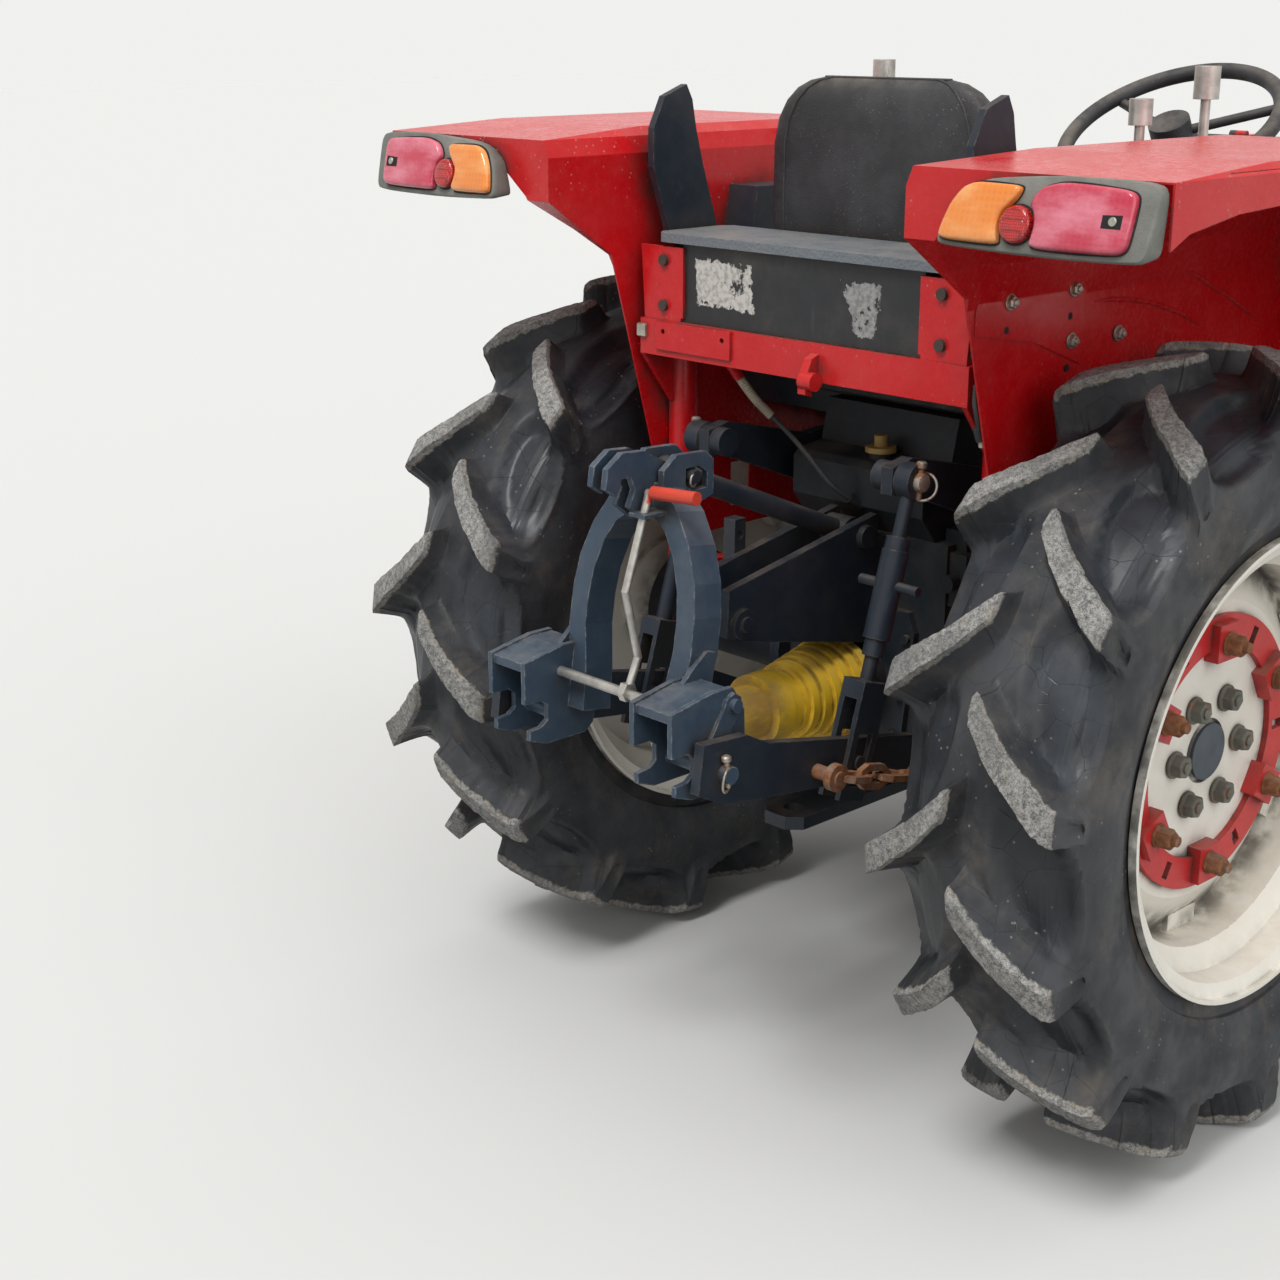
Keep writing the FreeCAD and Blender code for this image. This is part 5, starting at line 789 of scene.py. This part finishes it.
pan_rings = [oval((0, y, (low + high) / 2), half, (high - low) / 2, 6.0, 56, "xz")
             for y, low, high, half in SEAT_PAN]
seat_pan.loft(pan_rings)
for side in (-1, 1):
    seat_pan.loft([oval((side * 185, y, (low + high) / 2), half, (high - low) / 2, 3.0, 28, "xz")
                   for y, low, high, half in BOLSTER])
for cushion, name in ((seat_back, "seat_back_pad"), (seat_pan, "seat_pan_pad")):
    pad = cushion.piece(name, "seat_vinyl", "chassis", "black_plastic", 50.0)
    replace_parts(pad, "seat")
seams = Build()
for corner in (8, 20):
    seams.tube([back_rings[k][corner] for k in range(1, len(back_rings))], 2.2, 8)
seams.tube([back_rings[-1][k] for k in range(56)], 1.6, 8, True)
for corner in (7, 21):
    seams.tube([pan_rings[k][corner] for k in range(1, len(pan_rings) - 1)], 2.2, 8)
for z_seam in (1080, 1190, 1300):
    front = float(np.interp(z_seam, [row[0] for row in SEAT_BACK], [row[1] for row in SEAT_BACK]))
    seams.tube([(x, front + 0.3, z_seam) for x in range(-170, 171, 34)], 1.5, 6)
seams.piece("seat_seams", "seat_vinyl", "chassis", "black_plastic")
seat_frame = Build()
seat_frame.block((-110, -220, 955.3), (110, -20, 976), 3)
seat_frame.block((-203, -300, 961), (203, 40, 977), 4)
seat_frame.block((-150, 96, 1010), (150, 104, 1060), 2)
frame_piece = seat_frame.piece("seat_frame", "black_plastic", "chassis")
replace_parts(frame_piece, "seat")

# Black cable with its corrugated sleeve: the route of the cable's own piece, in millimetres from the rear axle
CABLE_ROUTE = [(5, 129, 831), (17, 147, 845), (34, 157, 866), (61, 163, 894), (90, 174, 924), (114, 190, 950),
               (130.5, 211, 978.5), (134, 232, 1006)]


def route_curve(name, route, depth):
    data = bpy.data.curves.new(name, "CURVE")
    data.dimensions = "3D"
    data.resolution_u = 12
    data.bevel_depth = depth
    data.bevel_resolution = 3
    data.use_fill_caps = True
    spline = data.splines.new("NURBS")
    spline.points.add(len(route) - 1)
    for point, place in zip(spline.points, route):
        point.co = (*at(*place), 1.0)
    spline.order_u = 3
    spline.use_endpoint_u = True
    item = bpy.data.objects.new(name, data)
    bpy.context.scene.collection.objects.link(item)
    return item


cable = route_curve("hitch_cable_line", CABLE_ROUTE, 0.004)
cable.data.materials.append(finish_of["black_plastic"])
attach(cable, "chassis")
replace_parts(cable, "hitch_cable")
guide = route_curve("hitch_cable_guide", CABLE_ROUTE, 0.0)
guide_mesh = bpy.data.meshes.new_from_object(guide)
line = [(vert.co.x * 1000, (vert.co.y - AXLE_Y) * 1000, vert.co.z * 1000) for vert in guide_mesh.vertices]
bpy.data.objects.remove(guide)
sleeve_line = [Vector(point) for point in line[int(len(line) * 0.72):]]
dense = []
for a, b in zip(sleeve_line, sleeve_line[1:]):
    dense += [a.lerp(b, k / 6) for k in range(6)]
sleeve = Build()
sleeve.tube(dense, [6.8 if k % 6 < 3 else 5.4 for k in range(len(dense))], 16)
sleeve_piece = sleeve.piece("cable_sleeve", "ivory_plastic", "chassis", "black_plastic")

# Fasteners on the fenders' wheel side: y, z, and whether a slot hole lies below
FENDER_BOLTS = [(217, 1159, True), (79, 1164, True), (79, 1095, True), (-30, 1094, False)]
FENDER_WALL = 328
LINER = [(286, 1122), (287, 1150), (280, 1176), (262, 1196), (232, 1211), (140, 1211), (52, 1208), (52, 1060),
         (158, 1100)]
bolts, slot_shades, liner = Build(), Build(), Build()
for side in (-1, 1):
    for y, z, slotted in FENDER_BOLTS:
        bolts.bolt((side * (FENDER_WALL + 1.6), y, z), (side, 0, 0), 15)
        if slotted:
            # Painted shade: each slot hole is a thin near-black disc on the fender's face.
            slot_shades.lathe((side * (FENDER_WALL + 1.4), y + 5, z - 36), (side, 0, 0), [(0, 5), (0.6, 5)], 16)
    inner = [(side * (FENDER_WALL - 0.5), y, z) for y, z in LINER]
    outer = [(side * (FENDER_WALL + 1.8), y, z) for y, z in LINER]
    liner.loft([inner, outer])
bolts.piece("fender_bolts", "zinc", "chassis", "steel")
slot_shades.piece("fender_slot_shades", "dark_hole", "chassis", "black_plastic")
liner.piece("fender_liners", "red_paint", "chassis", "red_paint")

# Linch pins, collars and rings at the hitch
pins, rubber_rings = Build(), Build()
for side in (-1, 1):
    rubber_rings.lathe((side * 186.5, 240, 908), (side, 0, 0), [(0, 19), (1, 23), (5, 23.5), (6.5, 20), (9, 23), (13, 22)])
    pins.lathe((side * 201, 240, 908), (side, 0, 0), [(0, 16), (1, 17), (7, 17), (9, 14), (12, 14), (21, 12.5), (22, 11)])
    pins.lathe((side * 215, 243, 884), (0, -0.1, 1), [(0, 3), (2, 4.2), (42, 4.2), (44, 7), (51, 7.5), (53, 5)], 14)
    pins.hoop((side * 217, 236, 902), (0.35 * side, 0.8, 0.3), 19, 1.9)
pins.piece("arm_linch_pins", "zinc", "arms", "steel")
rubber_rings.piece("arm_rubber_rings", "black_plastic", "arms")
link_pins = Build()
for side in (-1, 1):
    link_pins.lathe((side * 215, 602, 566), (0, 0.1, 1), [(0, 3), (2, 4), (36, 4), (38, 6.5), (43, 6.5), (45, 4)], 14)
    link_pins.hoop((side * 216, 604, 578), (0.9, 0.4, 0.1), 17, 1.8)
link_pins.piece("link_linch_pins", "zinc", "quick_coupler", "steel")
head_pin = Build()
head_pin.hoop((-39, 494, 922), (1, 0.3, 0.1), 9, 1.6)
head_pin.lathe((-38, 484, 926), (0.1, 1, 0.05), [(0, 2), (1, 2.6), (14, 2.6), (15, 2)], 12)
head_pin.piece("head_linch_pin", "zinc", "upper_link", "steel")

# Tail lamps: outlines across and up on the leaning face, from its foot, in millimetres
LAMP_LEAN = math.radians(14)
HOUSING = [(409, 3), (533, -1), (675, 1), (684, 9), (687, 39), (689.5, 83), (664, 89), (566, 91), (448, 81), (415, 56),
           (407, 31), (402, 8)]
AMBER = [(409, 9), (455, 8), (494, 8), (491, 22), (490, 32), (492, 42), (502, 53), (511, 64), (513, 75), (480, 76),
         (449, 76), (433, 69), (419, 50), (411, 24)]
RED_LENS = [(536, 7), (595, 7), (650, 8), (661, 15), (663, 41), (664, 70), (655, 78), (610, 81), (568, 82), (543, 76),
            (533, 66), (529, 56), (536, 45), (539, 32), (538, 20)]


def on_lamp(side, across, high, proud):
    """A point of a lamp, from its place across, up and out of the leaning face."""
    cos, sin = math.cos(LAMP_LEAN), math.sin(LAMP_LEAN)
    return side * across, 468 - high * sin + proud * cos, 1254 + high * cos + proud * sin


def softened(outline):
    """Cuts the corners of an outline twice."""
    for _ in range(2):
        outline = [(a[0] * (1 - v) + b[0] * v, a[1] * (1 - v) + b[1] * v)
                   for a, b in zip(outline, outline[1:] + outline[:1]) for v in (0.2, 0.8)]
    return outline


def shrunk(outline, inset):
    middle = [sum(point[k] for point in outline) / len(outline) for k in range(2)]
    result = []
    for point in outline:
        away = math.hypot(point[0] - middle[0], point[1] - middle[1])
        result.append(tuple(middle[k] + (point[k] - middle[k]) * (1 - inset / away) for k in range(2)))
    return result


amber, red_lenses, seams_of_lamps, eyes, lamp_screws = Build(), Build(), Build(), Build(), Build()
for word, side in (("left", 1), ("right", -1)):
    housing = Build()
    shape = softened(HOUSING)
    back = [(x, 431.0, z) for x, y, z in (on_lamp(side, a, h, 0) for a, h in shrunk(shape, 3))]
    housing.loft([back] + [[on_lamp(side, a, h, proud) for a, h in shrunk(shape, inset)]
                           for proud, inset in ((-8, 0), (-3, 0.4), (-0.8, 1.8), (0, 4))])
    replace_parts(housing.piece(f"tail_lamp_housing_{word}", "tail_lamp", "chassis", "lamp_lens"), f"tail_lamp_{word}")
    for outline, build in ((AMBER, amber), (RED_LENS, red_lenses)):
        shape = softened(outline)
        seams_of_lamps.loft([[on_lamp(side, a, h, proud) for a, h in shrunk(shape, -2.2)] for proud in (-1, 0.9)])
        build.loft([[on_lamp(side, a, h, proud) for a, h in shrunk(shape, inset)]
                    for proud, inset in ((-1, 0), (5, 0.3), (8, 1.6), (9.5, 4.5), (10, 9))])
    facing = (0, math.cos(LAMP_LEAN), math.sin(LAMP_LEAN))
    seams_of_lamps.lathe(on_lamp(side, 514, 32, 0), facing, [(-1, 23.4), (1.4, 23.4)], 40)
    eyes.lathe(on_lamp(side, 514, 32, 0), facing, [(-1, 21), (7, 21), (10, 19.6), (11.4, 16), (11.8, 8)], 40)
    seams_of_lamps.loft([[on_lamp(side, a, h, proud) for a, h in ((628, 35), (653, 35), (653, 50), (628, 49))]
                         for proud in (9, 10.4)])
    lamp_screws.lathe(on_lamp(side, 642, 42.5, 10), facing, [(-1, 5.2), (1.6, 5.2), (2.4, 4.2)], 16)
amber.piece("amber_lenses", "amber_lens", "chassis", "lamp_lens", 50.0)
red_lenses.piece("red_lenses", "red_lens", "chassis", "lamp_lens", 50.0)
eyes.piece("round_reflectors", "reflector", "chassis", "lamp_lens", 50.0)
seams_of_lamps.piece("lamp_seams", "dark_hole", "chassis", "black_plastic")
lamp_screws.piece("lamp_screws", "zinc", "chassis", "steel")

# Rear wheels' nuts and the ring clamps' nuts with their studs: turn around the axle, distance from it
for word, side in (("left", 1), ("right", -1)):
    nuts, clamp_nuts = Build(), Build()
    for k in range(6):
        a = math.radians(30 + 60 * k)
        place = (side * 533, 78 * math.sin(a), 550 + 78 * math.cos(a))
        nuts.lathe(place, (side, 0, 0), [(2, 16.5), (4, 19), (7, 19), (8, 17)], 20)
        nuts.lathe(place, (side, 0, 0), [(4, 16.6), (20, 16.6), (22.5, 14.6)], 6, a)
        nuts.lathe(place, (side, 0, 0), [(20, 8), (25, 8), (26, 6.5)], 14)
        a = math.radians(60 * k)
        place = (side * 533, 158 * math.sin(a), 550 + 158 * math.cos(a))
        clamp_nuts.lathe(place, (side, 0, 0), [(24, 16.5), (26.5, 16.5)], 20)
        clamp_nuts.lathe(place, (side, 0, 0), [(24, 14.6), (45, 14.6), (47.5, 12.8)], 6, a)
        clamp_nuts.lathe(place, (side, 0, 0), [(45, 7.5), (55, 7.5), (56, 6)], 14)
    nuts.piece(f"rear_nuts_{word}", "nut_steel", f"rear_wheel_{word}", "steel")
    clamp_nuts.piece(f"ring_nuts_{word}", "rusty_steel", f"rear_wheel_{word}")

# Pressed ribs on the fenders' wheel side: y, z
RIBS = [
    [(27, 1142), (-15, 1141), (-56, 1137), (-103, 1129), (-150, 1117), (-195, 1102), (-239, 1083)],
    [(-91, 1187), (-133, 1181), (-175, 1171), (-218, 1156), (-262, 1138), (-303, 1121), (-344, 1102), (-405, 1071)],
]
ribs = Build()
for side in (-1, 1):
    for rib in RIBS:
        ribs.tube([(side * FENDER_WALL, y, z) for y, z in rib], [1.0] + [3.6] * (len(rib) - 2) + [1.0], 12)
ribs.piece("fender_ribs", "red_paint", "chassis", "red_paint")

# Wiring: clip and lead beside the right fender, two-pin plug and its lead on the left one, grey socket
leads, ivory = Build(), Build()
leads.tube([(-317, 263, 1056), (-320, 268, 1034), (-321, 262, 1012), (-320, 254, 992)], 3.4)
leads.tube([(-317, 257, 1000), (-318, 254, 990), (-319, 251, 982)], 5.5)
leads.tube([(330, 302, 1262), (331, 292, 1247), (335, 276, 1238), (338, 262, 1234)], 2.2)
leads.block((329, 246, 1226), (343, 262, 1240), 2)
ivory.lathe((-320, 250, 984), (0, -0.25, -1), [(0, 4.5), (10, 4.5), (11, 3.5)], 12)
ivory.block((330, 243, 1204), (342, 258, 1226), 1.5)
ivory.lathe((333, 247, 1206), (0, -0.1, -1), [(0, 2.5), (7, 2.5), (8, 2)], 10)
ivory.lathe((339, 253, 1206), (0, -0.1, -1), [(0, 2.5), (7, 2.5), (8, 2)], 10)
leads.piece("fender_leads", "black_plastic", "chassis")
ivory.piece("plug_ends", "ivory_plastic", "chassis", "black_plastic")
socket = Build()
socket.block((292, 264, 1050), (310, 272, 1070), 1.5)
socket.piece("grey_socket", "zinc", "chassis", "steel")

# Instrument panel on the cowl's slope, with blank dials
gauges, dials = Build(), Build()
SLOPE = Vector((0, 156, -122)).normalized()
OUT = Vector((0, 122, 156)).normalized()
PANEL_MIDDLE = Vector((0, -928, 1241))
for x, radius, down in ((-78, 30, -10), (0, 40, -6), (78, 30, -10)):
    middle = PANEL_MIDDLE + Vector((x, 0, 0)) + SLOPE * down
    gauges.lathe(middle - OUT * 2, OUT, [(0, radius), (9, radius), (10, radius - 2), (10, radius - 4), (7, radius - 5)], 32)
    dials.lathe(middle, OUT, [(0, radius - 5), (5.4, radius - 5)], 32)
for k in range(5):
    place = PANEL_MIDDLE + Vector((-60 + 30 * k, 0, 0)) + SLOPE * 52
    gauges.lathe(place - OUT, OUT, [(0, 7), (5, 7), (6, 5)], 14)
gauges.lathe(PANEL_MIDDLE + Vector((130, 0, 0)) + SLOPE * 40 - OUT, OUT, [(0, 12), (8, 12), (9, 9)], 20)
gauges.piece("gauge_rims", "black_plastic", "chassis")
dials.piece("gauge_dials", "dial_face", "chassis", "clear_lens")

# Front wheels' nuts, hood catch and lamp rims
for word, side in (("left", 1), ("right", -1)):
    nuts = Build()
    for k in range(6):
        a = math.pi / 3 * k + 0.3
        nuts.bolt((side * 531.5, -1600 + 62 * math.sin(a), 370 + 62 * math.cos(a)), (side, 0, 0), 15, 8)
    nuts.piece(f"front_nuts_{word}", "zinc", f"front_wheel_{word}", "steel")
catch = Build()
catch.block((-40, -2177, 1018), (40, -2168, 1040), 3)
catch.piece("hood_catch", "black_plastic", "hood_lid")
rims = Build()
for side in (-1, 1):
    low, high, y = (80, 924), (200, 980), -2209
    loop = [(low[0], low[1]), (high[0], low[1]), (high[0], high[1]), (low[0], high[1])]
    rims.tube([(side * x, y, z) for x, z in loop], 3.0, 8, True)
rims.piece("headlamp_rims", "black_plastic", "chassis")

# Floor, light and camera
floor_mesh = bpy.data.meshes.new("floor_plane")
floor_mesh.from_pydata([(-40, -40, 0), (40, -40, 0), (40, 40, 0), (-40, 40, 0)], [], [(0, 1, 2, 3)])
floor_plane = bpy.data.objects.new("floor_plane", floor_mesh)
bpy.context.scene.collection.objects.link(floor_plane)
SUNS = [
    # name, direction that the light comes from, strength, width in degrees
    ("key", (-0.05, 0.65, 1.0), 2.0, 22),
    ("fill", (-0.9, 0.2, 0.5), 1.0, 60),
]
SKY_LOW, SKY_HIGH = 0.22, 0.98  # brightness of the soft light at the horizon and overhead
FLOOR_SHADE = 0.62
FLOOR_BOUNCE = 0.30
shone = sum(strength * Vector(way).normalized().z for name, way, strength, width in SUNS)
floor_light = FLOOR_SHADE * (SKY_LOW + (SKY_HIGH - SKY_LOW) * 2 / 3 + shone / math.pi)
floor_graph = Graph("studio_floor", roughness=1.0, shine=0.0)
floor_rays = floor_graph.nodes.new("ShaderNodeLightPath")
shown = floor_graph.either(*[floor_rays.outputs[f"Is {word} Ray"] for word in ("Camera", "Glossy", "Transmission")])
floor_graph.put(floor_graph.surface.inputs["Base Color"],
                floor_graph.mix(shown, (FLOOR_BOUNCE,) * 3, (FLOOR_SHADE, FLOOR_SHADE, FLOOR_SHADE * 0.985)))
floor_mesh.materials.append(floor_graph.material)

world = bpy.data.worlds.new("studio")
bpy.context.scene.world = world
world.use_nodes = True
tree = world.node_tree
way_up = tree.nodes.new("ShaderNodeSeparateXYZ")
tree.links.new(tree.nodes.new("ShaderNodeTexCoord").outputs["Generated"], way_up.inputs[0])


def sky(background, stops):
    """Colours a background by height above the horizon, from (height, brightness) pairs."""
    ramp = tree.nodes.new("ShaderNodeValToRGB")
    tree.links.new(way_up.outputs[2], ramp.inputs[0])
    for k, (height, shade) in enumerate(stops):
        stop = ramp.color_ramp.elements[k] if k < 2 else ramp.color_ramp.elements.new(height)
        stop.position = height
        stop.color = (shade, shade, shade * 0.985, 1.0)
    tree.links.new(ramp.outputs[0], background.inputs["Color"])


soft = tree.nodes["Background"]
sky(soft, [(0.0, SKY_LOW), (1.0, SKY_HIGH)])
seen = tree.nodes.new("ShaderNodeBackground")
sky(seen, [(0.25, floor_light), (1.0, 1.0), (0.6, 0.45)])
rays = tree.nodes.new("ShaderNodeLightPath")
any_seen = tree.nodes.new("ShaderNodeMath")
any_seen.operation = "ADD"
any_seen.use_clamp = True
both_seen = tree.nodes.new("ShaderNodeMath")
both_seen.operation = "ADD"
both_seen.use_clamp = True
tree.links.new(rays.outputs["Is Camera Ray"], any_seen.inputs[0])
tree.links.new(rays.outputs["Is Glossy Ray"], any_seen.inputs[1])
tree.links.new(any_seen.outputs[0], both_seen.inputs[0])
tree.links.new(rays.outputs["Is Transmission Ray"], both_seen.inputs[1])
pick = tree.nodes.new("ShaderNodeMixShader")
tree.links.new(both_seen.outputs[0], pick.inputs[0])
tree.links.new(soft.outputs[0], pick.inputs[1])
tree.links.new(seen.outputs[0], pick.inputs[2])
tree.links.new(pick.outputs[0], tree.nodes["World Output"].inputs["Surface"])

for name, way, strength, width in SUNS:
    data = bpy.data.lights.new(name, "SUN")
    data.energy = strength
    data.angle = math.radians(width)
    lamp = bpy.data.objects.new(name, data)
    bpy.context.scene.collection.objects.link(lamp)
    lamp.rotation_euler = (-Vector(way)).to_track_quat("-Z", "Y").to_euler()

camera_data = bpy.data.cameras.new("camera")
camera_data.sensor_width = 36.0
camera_data.lens = 56.3
camera = bpy.data.objects.new("camera", camera_data)
bpy.context.scene.collection.objects.link(camera)
camera.location = (-1.877, 3.0855, 1.508)
yaw, pitch = math.radians(46.84), math.radians(17.34)
look = Vector((math.sin(yaw) * math.cos(pitch), -math.cos(yaw) * math.cos(pitch), -math.sin(pitch)))
camera.rotation_euler = look.to_track_quat("-Z", "Y").to_euler()
bpy.context.scene.camera = camera
bpy.context.scene.view_settings.view_transform = "Standard"
